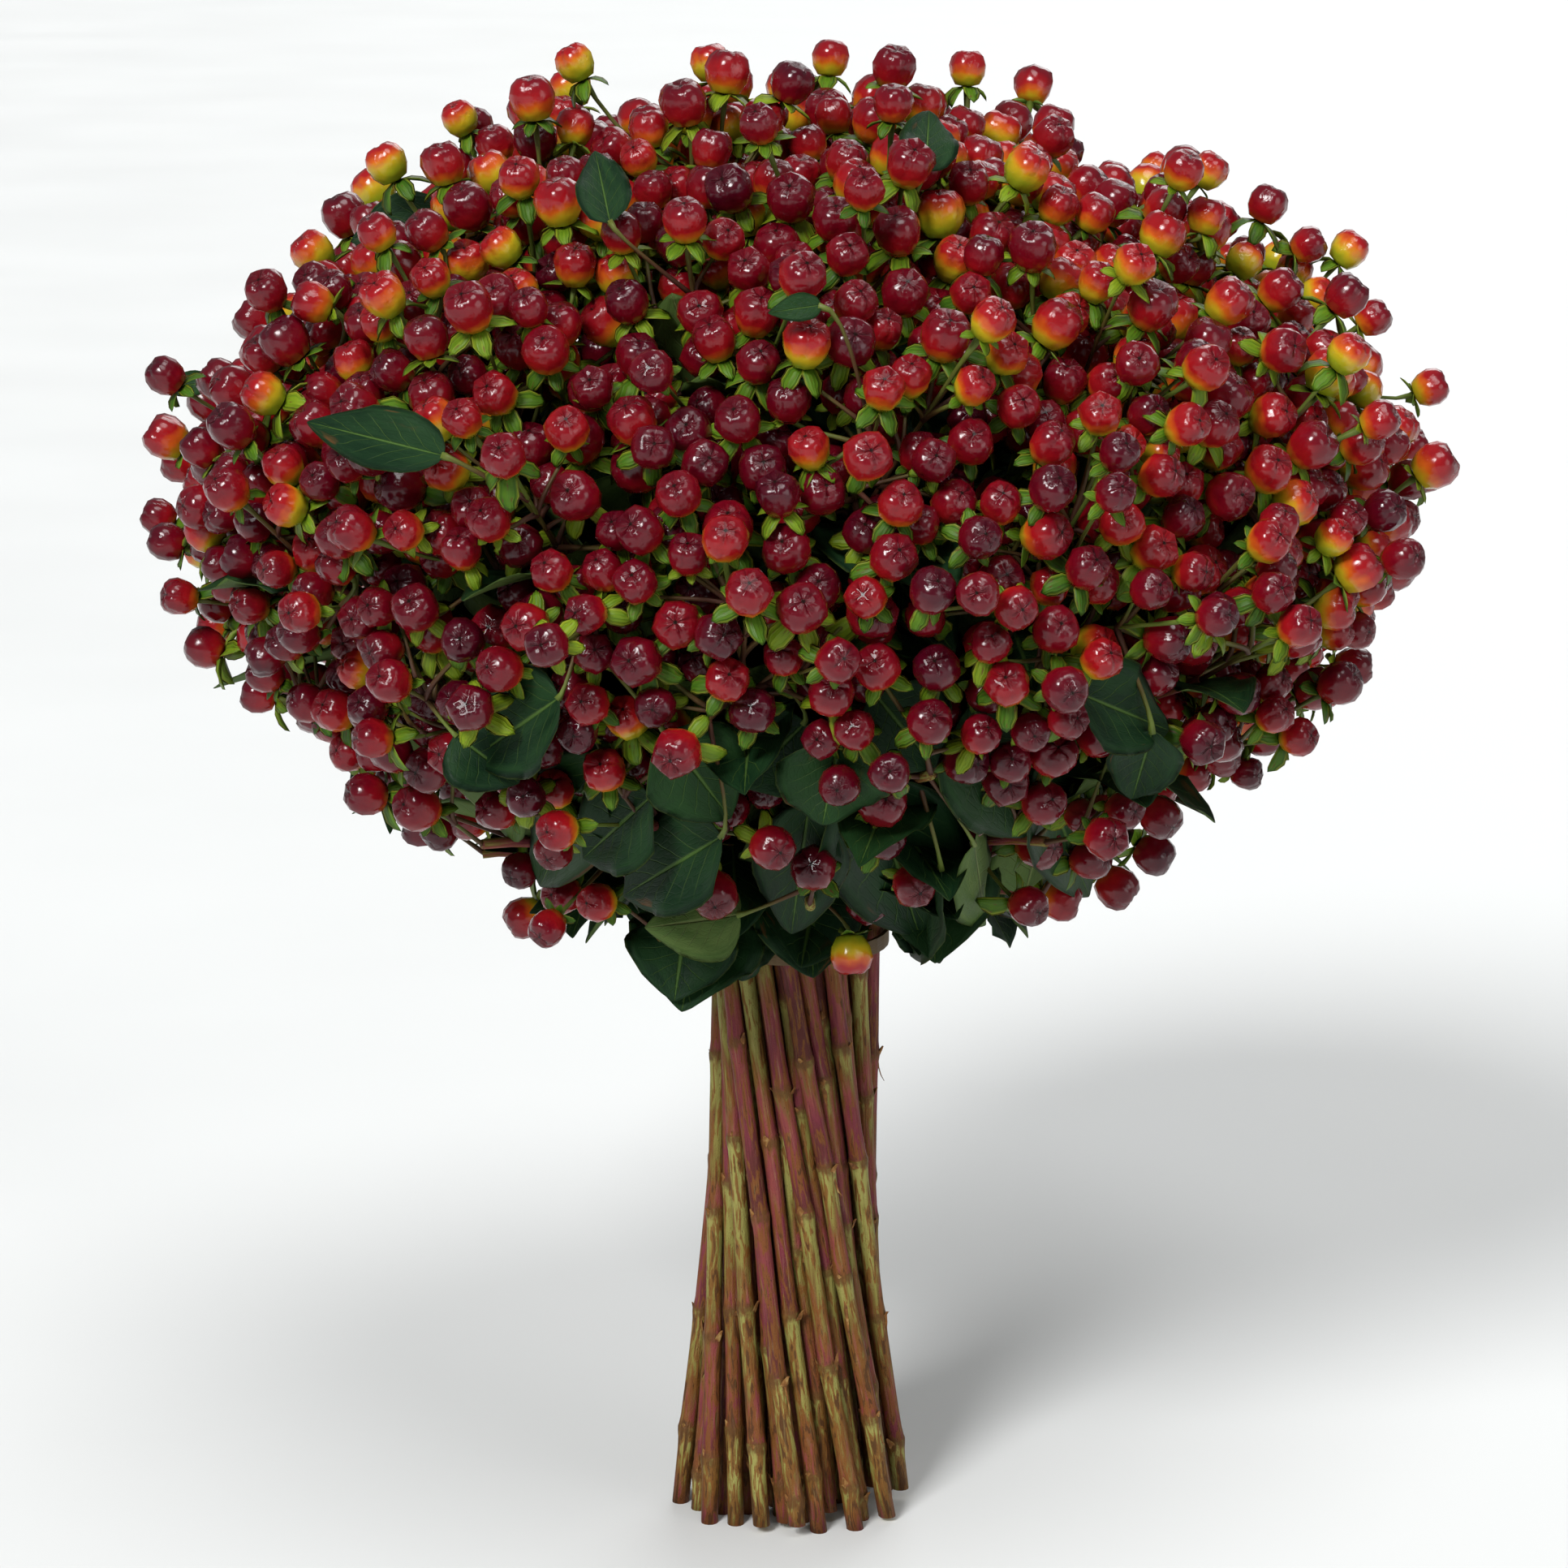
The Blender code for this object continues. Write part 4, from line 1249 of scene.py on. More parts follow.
def level_the_cuts(mesh):
    """Slides each lowest ring along its stem until it lies in a level plane, as shears would cut it."""
    places = vertex_places(mesh)
    marks = np.empty(len(places))
    mesh.attributes["along"].data.foreach_get("value", marks)
    low = np.flatnonzero(marks < 1e-5)
    feet = np.array([path[0][0] for path in stem_paths])
    tilts = np.array([unit(route[1] - route[0]) for route in smooth_routes])
    for number in low:
        stem = np.linalg.norm(feet - places[number], axis=1).argmin()
        slide = (feet[stem][2] - places[number][2]) / tilts[stem][2]
        places[number] += tilts[stem] * slide
        places[number][2] = feet[stem][2]
    move_vertices(mesh, places)
    return len(low)


print(level_the_cuts(stems.data), "points levelled at the cut ends")
stems.data.materials.append(cut_wood_finish())
for face in stems.data.polygons:
    if len(face.vertices) == SIDES_OF_STEM and face.center.z < CUTS_BELOW:
        face.use_smooth = False
        face.material_index = 1
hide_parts(*STEM_NODES)
ride_along(stems)

# %% [markdown]
# ## Twigs
#
# Every berry ends a thin twig. The twigs of the solids start at their own stem. The others branch off
# those, or off a stem, and a twig starts where it can reach its berry without running through another
# one. Each is a smooth curve that leaves along its parent and arrives along the berry's own axis.

# %% Paths of the twigs
TWIG_END = 0.47
TWIG_POINTS = 8
TWIG_CHOICES = 8
MAIN_BOW, SIDE_BOW = 0.6, 0.85
LEAF_STALK = 0.02
INTO_LEAF = 0.001
SHORTEST_TWIG = 0.009
LEAST_BEHIND = 0.15
BEHIND_WEIGHT = 2.3
ROOM_ENOUGH = 0.001
COST_WEIGHT = 0.08
TWIG_SIDES = 5
TWIG_SCATTER = (0.85, 1.15)
TWIG_THICK = ((0, 0.0010), (0.45, 0.0007), (0.86, 0.00065), (1, 0.0013))


def twig_end(berry):
    return berry["centre"] - berry["nod"] * berry["diameter"] * TWIG_END


def bowed(start, start_way, end, end_way, bow):
    """A curve between two points with its pulls in proportion to the gap."""
    gap = np.linalg.norm(end - start)
    pulls = start_way * gap * bow, end_way * gap * bow
    shares = np.linspace(0, 1, TWIG_POINTS)
    return np.array([curve_between(start, pulls[0], end, pulls[1], share) for share in shares])


def main_twig(berry):
    """The twig of one of the solids' berries, from the nearest point of its smooth stem."""
    route = smooth_routes[berry["stem"]]
    marks = np.linspace(route_length(route[:2]), route_length(route), ROUTE_POINTS)
    points = along(route, marks)
    start = points[np.linalg.norm(points - berry["start"], axis=1).argmin()]
    end = twig_end(berry)
    return bowed(start, unit(end - start), end, berry["nod"], MAIN_BOW)


def bearing_points(twigs):
    """Points of stems and twigs that a new twig may start from, and the ways they run there."""
    points, ways = [], []
    for twig in twigs:
        points.append(twig[2:-3])
        ways.append(np.gradient(twig, axis=0)[2:-3])
    for route in smooth_routes:
        points.append(route[4:])
        ways.append(np.gradient(route, axis=0)[4:])
    ways = np.vstack(ways)
    return np.vstack(points), ways / np.linalg.norm(ways, axis=1)[:, None]


def side_twig(berry, starts, ways, pile):
    """The clearest of the short twigs that reach a berry from behind."""
    end = twig_end(berry)
    gaps = np.linalg.norm(end - starts, axis=1)
    behind = (end - starts) @ berry["nod"] / np.maximum(gaps, 1e-6)
    unfit = (gaps < SHORTEST_TWIG) | (behind < LEAST_BEHIND)
    cost = gaps * (BEHIND_WEIGHT - behind) + np.where(unfit, 1.0, 0)
    best = None
    for choice in np.argsort(cost)[:TWIG_CHOICES]:
        way = unit(ways[choice] + unit(end - starts[choice]))
        twig = bowed(starts[choice], way, end, berry["nod"], SIDE_BOW)
        inner = twig[1:-2]
        room = np.linalg.norm(inner[:, None] - pile.centres[None], axis=2) - pile.halves
        worth = min(room.min(), ROOM_ENOUGH) - cost[choice] * COST_WEIGHT
        if best is None or worth > best[0]:
            best = (worth, twig)
    return best[1]


twigs = [main_twig(berry) for berry in main_fruit]
starts, ways = bearing_points(twigs)
twigs += [side_twig(berry, starts, ways, pile) for berry in pile.fruit[len(main_fruit):]]
for leaf in seen_leaves:
    start = starts[np.linalg.norm(starts - leaf.base + leaf.ahead * LEAF_STALK, axis=1).argmin()]
    end = leaf.base + leaf.ahead * INTO_LEAF
    twigs.append(bowed(start, unit(leaf.base - start), end, leaf.ahead, MAIN_BOW))
twig_random = np.random.RandomState(SEED + 21)


def twig_values(twig):
    marks = route_marks(twig)
    shares = marks / marks[-1]
    return {
        "thick": np.interp(shares, *zip(*TWIG_THICK)) * twig_random.uniform(*TWIG_SCATTER),
        "along": marks,
        "share": shares,
        "whose": np.full(len(twig), twig_random.uniform()),
    }


twig_places, twig_edges, twig_marks = chain([(twig, twig_values(twig)) for twig in twigs])
longest = max(route_length(twig) for twig in twigs)
print(len(twigs), "twigs, the longest", round(1000 * longest), "mm")


# %% Twig finish, and the twigs
def twig_finish():
    """Brown-green bark that reddens away from the berry and turns green at the berry's end."""
    f = Finish("twig_bark", Specular_IOR_Level=0.3)
    lengthwise = f.node("CombineXYZ", {0: f.value("whose"), 2: f.times(f.value("along"), 120.0)})
    skin = f.moved(f.vector("around"), lengthwise)
    fibres = f.noise(skin, 2.5, 3.0)
    own_turn = f.times(f.less(f.value("whose"), 0.5), 0.5)
    turned = f.plus(f.value("share"), own_turn)
    turned = f.plus(turned, f.times(f.less(fibres, 0.5), 0.6))
    colour = f.ramp(
        turned, (0.1, (0.060, 0.019, 0.010)), (0.45, (0.075, 0.042, 0.010)), (0.9, (0.095, 0.135, 0.018))
    )
    return f.end(colour, f.step(fibres, 0.3, 0.7, 0.45, 0.65), f.bump(fibres, 0.0002))


twig_piece = grown(
    "twigs",
    points_mesh("twig_paths", twig_places, twig_edges, **twig_marks),
    SHOOTS,
    keep=("around", "along", "share", "whose"),
    Sides=TWIG_SIDES,
    Material=twig_finish(),
)
ride_along(twig_piece)

# %% [markdown]
# ## Berries
#
# A hypericum berry is a blunt capsule of three to five chambers. Its shoulders bulge between creases that
# meet at a small dark dimple, where the flower's styles stood. Six shapes are enough, because each is
# turned and sized at random. Ten or twelve points round and six rings catch the lobes, and smooth shading
# and a fine bump do the rest, so that two thousand of them stay light.

# %% Berry shapes
BERRY_RINGS = (12, 30, 53, 81, 112, 145)
LUMP_DEPTH = 0.018
BERRY_SHAPES = (
    # lobes, points round, lobe depth, dimple depth, blunt shoulders, seed
    (5, 10, 0.075, 0.120, 0.70, 1),
    (5, 10, 0.050, 0.090, 0.76, 2),
    (4, 12, 0.070, 0.115, 0.72, 3),
    (4, 12, 0.045, 0.085, 0.78, 4),
    (3, 12, 0.065, 0.115, 0.74, 5),
    (3, 12, 0.040, 0.085, 0.78, 6),
)


def berry_shape(name, lobes, around_count, lobe_depth, dimple, blunt, seed, collection):
    """A berry one unit across, with its crown up. Attribute local keeps each point's own place."""
    first, phase, second = np.random.RandomState(seed).uniform(-1, 1, 3)
    places = [(0, 0, 0.5 * BERRY_LENGTH - dimple * 1.15)]
    for degrees in BERRY_RINGS:
        turn = math.radians(degrees)
        bulge = math.sin(min(turn * 1.35, math.pi / 2)) * max(math.cos(turn * 0.52), 0)
        for number in range(around_count):
            angle = 2 * math.pi * number / around_count
            lobe = lobe_depth * math.cos(lobes * angle) * bulge
            lump = LUMP_DEPTH * (first * math.cos(2 * angle + phase) + second * math.cos(3 * turn + angle))
            flat = 0.5 * math.sin(turn) ** blunt * (1 + lobe + lump) * (1 - 0.05 * (turn > 1.8))
            rise = 0.5 * BERRY_LENGTH * math.cos(turn) * (1 + 0.35 * lobe)
            rise -= dimple * math.exp(-((degrees / 20) ** 2)) * (1.25 - math.cos(lobes * angle) * 0.5)
            places.append((flat * math.cos(angle), flat * math.sin(angle), rise))
    places.append((0, 0, -0.5 * BERRY_LENGTH * 0.96))
    last = len(places) - 1 - around_count
    faces = []
    for number in range(around_count):
        after = (number + 1) % around_count
        faces.append((0, 1 + number, 1 + after))
        for low in range(1, last, around_count):
            high = low + around_count
            faces.append((low + number, high + number, high + after, low + after))
        faces.append((last + number, len(places) - 1, last + after))
    counts = np.full(len(places), float(lobes))
    shape_in(collection, name, places, faces, local=places, lobes=counts).shade_smooth()
    return len(faces)


berry_shapes = bpy.data.collections.new("berry_shapes")
for number, shape in enumerate(BERRY_SHAPES):
    faces = berry_shape(f"berry_shape_{number}", *shape, berry_shapes)
print(len(BERRY_SHAPES), "berry shapes of about", faces, "faces")


# %% The tree that sets shapes on points
def setting_tree():
    """Sets one of a collection's shapes on each point: its Z along nod, its Y turned towards lean."""
    tree = Tree("set_on_points", Shapes="Collection", Material="Material")
    shapes = tree.node(
        "GeometryNodeCollectionInfo",
        {"Collection": tree.entry["Shapes"], "Separate Children": True, "Reset Children": True},
    )
    nod = tree.attribute("nod", "FLOAT_VECTOR")
    lean = tree.attribute("lean", "FLOAT_VECTOR")
    stood = tree.node("FunctionNodeAlignRotationToVector", {"Vector": nod}, axis="Z")
    turned = tree.node(
        "FunctionNodeAlignRotationToVector", {"Rotation": stood, "Vector": lean}, axis="Y", pivot_axis="Z"
    )
    placed = tree.node(
        "GeometryNodeInstanceOnPoints",
        {
            "Points": tree.entry["Geometry"],
            "Instance": shapes,
            "Pick Instance": True,
            "Instance Index": tree.attribute("kind"),
            "Rotation": turned,
            "Scale": tree.attribute("size"),
        },
    )
    return tree.end(placed)


SETTING = setting_tree()
print("setting tree:", len(SETTING.nodes), "nodes")


# %% Berry skin
def berry_finish():
    """Glossy skin, from yellow-green at the base of a young berry through red to a dark crown."""
    f = Finish("berry_skin", Specular_IOR_Level=0.30, Coat_Weight=0.20, Coat_Roughness=0.07)
    local = f.vector("local")
    chance = f.value("chance")
    start = f.start(chance, 0.4, 0.9, 50.0)
    x, y, z = f.parts(local)
    own = f.moved(local, start)
    soft = f.noise(own, 2.2, 2.0)
    level = f.plus(z, f.times(f.less(soft, 0.5), 0.45))
    edge = f.sum("MULTIPLY_ADD", f.value("ripe"), -1.35, 0.55)
    grown_up = f.less(level, edge)
    colour = f.ramp(
        f.sum("MULTIPLY_ADD", grown_up, 0.6, 0.25),
        (0.00, (0.27, 0.30, 0.012)), (0.16, (0.47, 0.31, 0.012)), (0.27, (0.50, 0.09, 0.008)),
        (0.38, (0.29, 0.006, 0.008)), (0.62, (0.135, 0.0018, 0.0075)), (0.90, (0.050, 0.0010, 0.0065)),
    )
    flat = f.node("CombineXYZ", {0: x, 1: y})
    ray = f.moved(f.node("VectorMath", {0: flat}, operation="NORMALIZE"), start)
    wrinkles = f.noise(ray, 3.2, 3.0, 0.2)
    angle = f.times(f.sum("ARCTAN2", y, x), f.value("lobes"))
    bend = f.times(f.less(f.noise(own, 4.0, 2.0), 0.5), 2.2)
    valley = f.sum("MULTIPLY_ADD", f.sum("COSINE", f.plus(angle, bend)), -0.5, 0.5)
    crease = f.sum("POWER", valley, 6.0)
    out = f.node("VectorMath", {0: flat}, "Value", operation="LENGTH")
    crown = f.times(f.step(z, 0.05, 0.38), f.step(out, 0.42, 0.10))
    star = f.times(crease, crown)
    # The creases of the star are darkened a little: painted shade in the valleys, on top of the bump that
    # shapes them
    dark = f.mix(f.times(star, 0.16), colour, (0.04, 0.003, 0.006))
    dimple = f.times(f.step(out, 0.055, 0.025), f.step(z, 0.1, 0.2))
    dark = f.mix(dimple, dark, (0.02, 0.009, 0.006))
    inner = f.times(crown, f.step(out, 0.30, 0.12))
    streaks = f.times(f.step(wrinkles, 0.5, 0.7, 0.0, 0.6), inner)
    dark = f.mix(streaks, dark, (0.09, 0.005, 0.012))
    groove = f.times(f.sum("POWER", valley, 2.5), f.step(z, -0.32, 0.15))
    height = f.plus(f.times(star, -0.36), f.times(groove, -0.3))
    height = f.plus(height, f.times(f.times(wrinkles, inner), 1.1))
    height = f.plus(height, f.times(f.noise(own, 2.6, 1.0), 0.40))
    rough = f.step(f.noise(own, 6.0, 3.0), 0.3, 0.75, 0.15, 0.27)
    return f.end(dark, rough, f.bump(height, 0.0015, 0.85))


# %% Set the berries
# A shape's number is rounded down by the tree, so a little is added to stay clear of the number below
KIND_MARGIN = 0.25
QUARTERS = ("front", "right", "back", "left")
RIPE_MEAN, RIPE_SPREAD, LEAST_RIPE = 0.86, 0.13, 0.30
CROWN_UNRIPE, RIGHT_UNRIPE, YOUNG_UNRIPE = 0.20, 0.10, 0.28
YOUNG_SHARE, YOUNG_AT_CROWN, YOUNG_ON_RIGHT = 0.13, 0.24, 0.10
RIPE_RANGE = 0.23
RIPE_BELOW = 0.3
berry_random = np.random.RandomState(SEED + 30)


def ripeness(berry):
    """How ripe a berry is: fully at the front and below, less at the crown and on the right."""
    height = max((berry["centre"][2] - FACING_Z) / RIPE_RANGE, -RIPE_BELOW)
    crown = max(height, 0)
    right = max(berry["centre"][0] / HEAD_RADIUS, 0)
    drawn = berry_random.normal(RIPE_MEAN, RIPE_SPREAD)
    young = berry_random.uniform() < YOUNG_SHARE + YOUNG_AT_CROWN * crown + YOUNG_ON_RIGHT * right
    drawn -= CROWN_UNRIPE * crown + RIGHT_UNRIPE * right * (height + RIPE_BELOW) + YOUNG_UNRIPE * young
    return berry.get("ripe", float(np.clip(drawn, LEAST_RIPE, 1.0)))


berries = pile.fruit
centres = np.array([berry["centre"] for berry in berries])
nods = np.array([berry["nod"] for berry in berries])
diameters = np.array([berry["diameter"] for berry in berries])
ripe = np.array([ripeness(berry) for berry in berries])
leans = berry_random.normal(size=centres.shape)
kinds = berry_random.randint(0, len(BERRY_SHAPES), len(berries)) + KIND_MARGIN
chances = berry_random.uniform(size=len(berries))
turned = np.degrees(np.arctan2(centres[:, 0], -centres[:, 1]))
quarter = ((turned + 45) // 90).astype(int) % 4
berry_skin = berry_finish()
for number, side in enumerate(QUARTERS):
    own = quarter == number
    source = points_mesh(
        "berry_points", centres[own], nod=nods[own], lean=leans[own], size=diameters[own],
        kind=kinds[own], ripe=ripe[own], chance=chances[own],
    )
    keep = ("local", "lobes", "ripe", "chance")
    piece = grown(f"berries_{side}", source, SETTING, keep, Shapes=berry_shapes, Material=berry_skin)
    print(keep_in_box(piece.data), "points drawn in")
    ride_along(piece)

# %% [markdown]
# ## Sepals
#
# Behind each berry sit the flower's five sepals, leafy and bent back, with one or two often lost. A sepal
# is a closed sliver, thickest along its midrib. Four rings of them, each bent its own way, are set on the
# berries' bases by the same tree.

# %% Rings of sepals
SEPAL_ROWS = ((0.0, 0.34), (0.28, 0.90), (0.58, 0.97), (0.83, 0.60))
SEPAL_HALF_WIDTH = 0.00265
SEPAL_LENGTH = 0.009
SEPAL_THICK = 0.00034
SEPAL_ROOT = 0.0011
SEPAL_CUP = 0.35
SEPAL_SCATTER = {
    "angle": (-0.14, 0.14), "start": (-4, 14), "tip": (-18, 25),
    "length": (0.78, 1.12), "twist": (-0.5, 0.5),
}
RINGS_OF_SEPALS = (
    # bend back in degrees at the start and at the tip, length, number of sepals, seed
    (98, 135, 0.0090, 5, 11),
    (92, 112, 0.0082, 5, 12),
    (108, 155, 0.0098, 4, 13),
    (90, 100, 0.0078, 4, 14),
)


def sepal_points(bend, length, twist):
    """Rows of a sepal's left edge, upper and lower midrib and right edge, in its own plane."""
    start, end = (math.radians(degrees) for degrees in bend)
    shares = [row[0] for row in SEPAL_ROWS] + [1.0]
    spine, at = [], np.array([SEPAL_ROOT, 0.0])
    for number, share in enumerate(shares):
        if number:
            turn = start + (end - start) * (share + shares[number - 1]) / 2
            step = length * (share - shares[number - 1])
            at = at + step * np.array([math.sin(turn), math.cos(turn)])
        spine.append(at)
    rows = []
    for (share, wide), (out, rise) in zip(SEPAL_ROWS, spine):
        turn = start + (end - start) * share
        lift = np.array([-math.cos(turn), 0, math.sin(turn)]) * SEPAL_THICK / 2
        middle = np.array([out, 0, rise])
        half = SEPAL_HALF_WIDTH * wide * length / SEPAL_LENGTH
        edge = np.array([0, half, 0])
        cup = np.array([-math.cos(turn), 0, math.sin(turn)]) * half * SEPAL_CUP
        roll = twist * share * np.array([0, 0, half])
        left, right = middle - edge + cup - roll, middle + edge + cup + roll
        rows.append([(left, -1, 0), (middle + lift, 0, 1), (middle - lift, 0, -1), (right, 1, 0)])
    return rows, np.array([spine[-1][0], 0, spine[-1][1]])


def ring_of_sepals(name, first, last, length, count, seed, collection):
    """A ring of sepals round the Z axis, with a free choice of bend and length for each."""
    random = np.random.RandomState(seed)
    places, faces, marks = [], [], []
    for number in range(count):
        drawn = {key: random.uniform(*limits) for key, limits in SEPAL_SCATTER.items()}
        angle = 2 * math.pi * (number + drawn["angle"]) / 5
        bend = (first + drawn["start"], last + drawn["tip"])
        rows, tip = sepal_points(bend, length * drawn["length"], drawn["twist"])
        sine, cosine = math.sin(angle), math.cos(angle)
        turn = np.array([[cosine, -sine, 0], [sine, cosine, 0], [0, 0, 1]])
        base = len(places)
        for share, row in zip(SEPAL_ROWS, rows):
            for point, side, layer in row:
                places.append(turn @ point)
                marks.append((side, share[0], layer))
        places.append(turn @ tip)
        marks.append((0, 1, 0))
        end = len(places) - 1
        for left in range(base, end, 4):
            over, under, right = left + 1, left + 2, left + 3
            if right + 1 < end:
                faces += [
                    (left, left + 4, over + 4, over), (over, over + 4, right + 4, right),
                    (left, under, under + 4, left + 4), (under, right, right + 4, under + 4),
                ]
            else:
                faces += [(left, end, over), (over, end, right), (left, under, end), (under, right, end)]
        faces.append((base, base + 1, base + 3, base + 2))
    shape_in(collection, name, places, faces, blade=marks).shade_smooth()
    return len(faces)


sepal_rings = bpy.data.collections.new("sepal_rings")
for number, shape in enumerate(RINGS_OF_SEPALS):
    faces = ring_of_sepals(f"sepal_ring_{number}", *shape, sepal_rings)
print(len(RINGS_OF_SEPALS), "rings of sepals of about", faces, "faces")


# %% Sepal finish, and the sepals
def sepal_finish():
    """Bright green with fine lengthwise veins, a yellow edge and a few brown spots."""
    f = Finish("sepal_green", Specular_IOR_Level=0.20)
    blade = f.vector("blade")
    chance = f.value("chance")
    side, _, layer = f.parts(blade)
    own = f.moved(blade, f.start(chance, 0.2, 0.5, 40.0))
    mottle = f.noise(own, 2.0, 3.0)
    tone = f.plus(f.times(chance, 0.6), f.times(mottle, 0.5))
    colour = f.ramp(
        tone, (0.2, (0.030, 0.088, 0.006)), (0.55, (0.080, 0.165, 0.007)), (0.95, (0.21, 0.28, 0.010))
    )
    reach = f.sum("ABSOLUTE", side)
    colour = f.mix(f.step(reach, 0.60, 0.98, 0.0, 0.75), colour, (0.30, 0.30, 0.018))
    veins = f.sum("POWER", f.sum("ABSOLUTE", f.sum("SINE", f.times(side, 9.0))), 6.0)
    colour = f.mix(f.times(veins, 0.10), colour, (0.04, 0.10, 0.01))
    spots = f.step(f.noise(own, 3.4, 2.0), 0.62, 0.70)
    colour = f.mix(f.times(spots, 0.7), colour, (0.10, 0.018, 0.012))
    paler = f.step(layer, 0.0, -0.2, 0.0, 0.35)
    colour = f.mix(paler, colour, (0.12, 0.19, 0.03))
    height = f.plus(f.times(veins, 0.3), mottle)
    return f.end(colour, f.step(mottle, 0.3, 0.7, 0.40, 0.56), f.bump(height, 0.0002))


SEPAL_SEAT = 0.485
SEPAL_SIZES = (0.78, 1.20)
MEAN_DIAMETER = 0.0134

sepal_places = centres - nods * (diameters * SEPAL_SEAT)[:, None]
sepal_kinds = berry_random.randint(0, len(RINGS_OF_SEPALS), len(berries)) + KIND_MARGIN
sepal_sizes = diameters / MEAN_DIAMETER * berry_random.uniform(*SEPAL_SIZES, len(berries))
sepal_green = sepal_finish()
for side, own in (("front", centres[:, 1] < 0), ("back", centres[:, 1] >= 0)):
    source = points_mesh(
        "sepal_points", sepal_places[own], nod=nods[own], lean=leans[own], size=sepal_sizes[own],
        kind=sepal_kinds[own], chance=chances[own],
    )
    keep = ("blade", "chance")
    piece = grown(f"sepals_{side}", source, SETTING, keep, Shapes=sepal_rings, Material=sepal_green)
    print(keep_in_box(piece.data), "points drawn in")
    ride_along(piece)

# %% [markdown]
# ## Leaves
#
# The leaves are broad pointed ovals without a stalk, dark and smooth above and paler beneath, with veins
# that sweep towards the tip. They close the head from below as a collar and fill the dark between the
# berries. Each blade here is the solid's own blade, drawn on a finer grid, with its two faces meeting
# along the edge. More leaves join them on the same stems, round the tie and inside the head.

# %% Blades on a fine grid
BLADE_SHARES = np.concatenate([[0.015, 0.05], np.linspace(0.10, 0.92, 10), [0.965, 0.99]])
BLADE_SIDES = np.array([-1, -0.78, -0.4, 0, 0.4, 0.78, 1])
BLADE_THICK = 0.00045
EDGE_RIPPLE = 0.022


def blade_grid(leaf, shares, sides):
    """The leaf's surface at a grid of shares and sides, with a finer ripple along its edge."""
    half = leaf.width / 2 * np.sin(np.pi * shares**leaf.swell).clip(0) ** leaf.blunt
    wave = LEAF_WAVE * leaf.width * np.sin(9 * shares + leaf.phase + sides) * sides**2
    wave = wave + EDGE_RIPPLE * leaf.width * np.sin(25 * shares + 3 * leaf.phase) * np.abs(sides) ** 3
    rise = half * np.abs(sides) * math.sin(LEAF_FOLD) + wave * np.minimum(half / leaf.width * 3, 1)
    rise = rise - leaf.droop * shares**2
    out = half * sides * math.cos(LEAF_FOLD)
    return (
        leaf.base + leaf.ahead * (leaf.length * shares)[..., None]
        + leaf.across * out[..., None] + leaf.up * rise[..., None]
    )


def blade_faces(rows, columns):
    """Faces of one leaf's grid: the upper face, the lower face and fans to the base and the tip."""
    upper = np.arange(rows * columns).reshape(rows, columns)
    lower = upper.copy()
    lower[:, 1:-1] = rows * columns + np.arange(rows * (columns - 2)).reshape(rows, columns - 2)
    base = rows * columns + rows * (columns - 2)
    faces = []
    for row in range(rows - 1):
        for column in range(columns - 1):
            a, b = upper[row, column], upper[row, column + 1]
            c, d = upper[row + 1, column + 1], upper[row + 1, column]
            faces.append((a, d, c, b))
            a, b = lower[row, column], lower[row, column + 1]
            c, d = lower[row + 1, column + 1], lower[row + 1, column]
            faces.append((a, b, c, d))
    for column in range(columns - 1):
        faces.append((base, upper[0, column], upper[0, column + 1]))
        faces.append((base, lower[0, column + 1], lower[0, column]))
        faces.append((base + 1, upper[-1, column + 1], upper[-1, column]))
        faces.append((base + 1, lower[-1, column], lower[-1, column + 1]))
    return faces, base + 2


def leaf_piece(name, group, material, rows, columns):
    """One mesh of many leaves. Attribute blade holds side, share and which face a point is on."""
    random = np.random.RandomState(SEED + 41)
    template, stride = blade_faces(len(rows), len(columns))
    shares, sides = np.meshgrid(rows, columns, indexing="ij")
    edge = 1 - np.abs(sides) ** 4
    upper = np.stack([sides, shares, np.where(np.abs(sides) < 1, 1.0, 0.0)], axis=-1)
    lower = (upper * (1, 1, -1))[:, 1:-1]
    marks = np.vstack([upper.reshape(-1, 3), lower.reshape(-1, 3), [(0, 0, 0), (0, 1, 0)]])
    places, chances, faces = [], [], []
    for number, leaf in enumerate(group):
        middle = blade_grid(leaf, shares, sides)
        lift = leaf.up * (edge * BLADE_THICK / 2)[..., None]
        ends = [leaf.point(0, 0), leaf.point(1, 0)]
        places += [(middle + lift).reshape(-1, 3), (middle - lift)[:, 1:-1].reshape(-1, 3), np.array(ends)]
        chances.append(np.full(stride, random.uniform()))
        faces += [tuple(int(corner) + number * stride for corner in face) for face in template]
    blades, chance = np.tile(marks, (len(group), 1)), np.concatenate(chances)
    mesh = points_mesh(name, np.vstack(places), (), faces, blade=blades, chance=chance)
    mesh.shade_smooth()
    mesh.materials.append(material)
    return new_object(name, mesh)


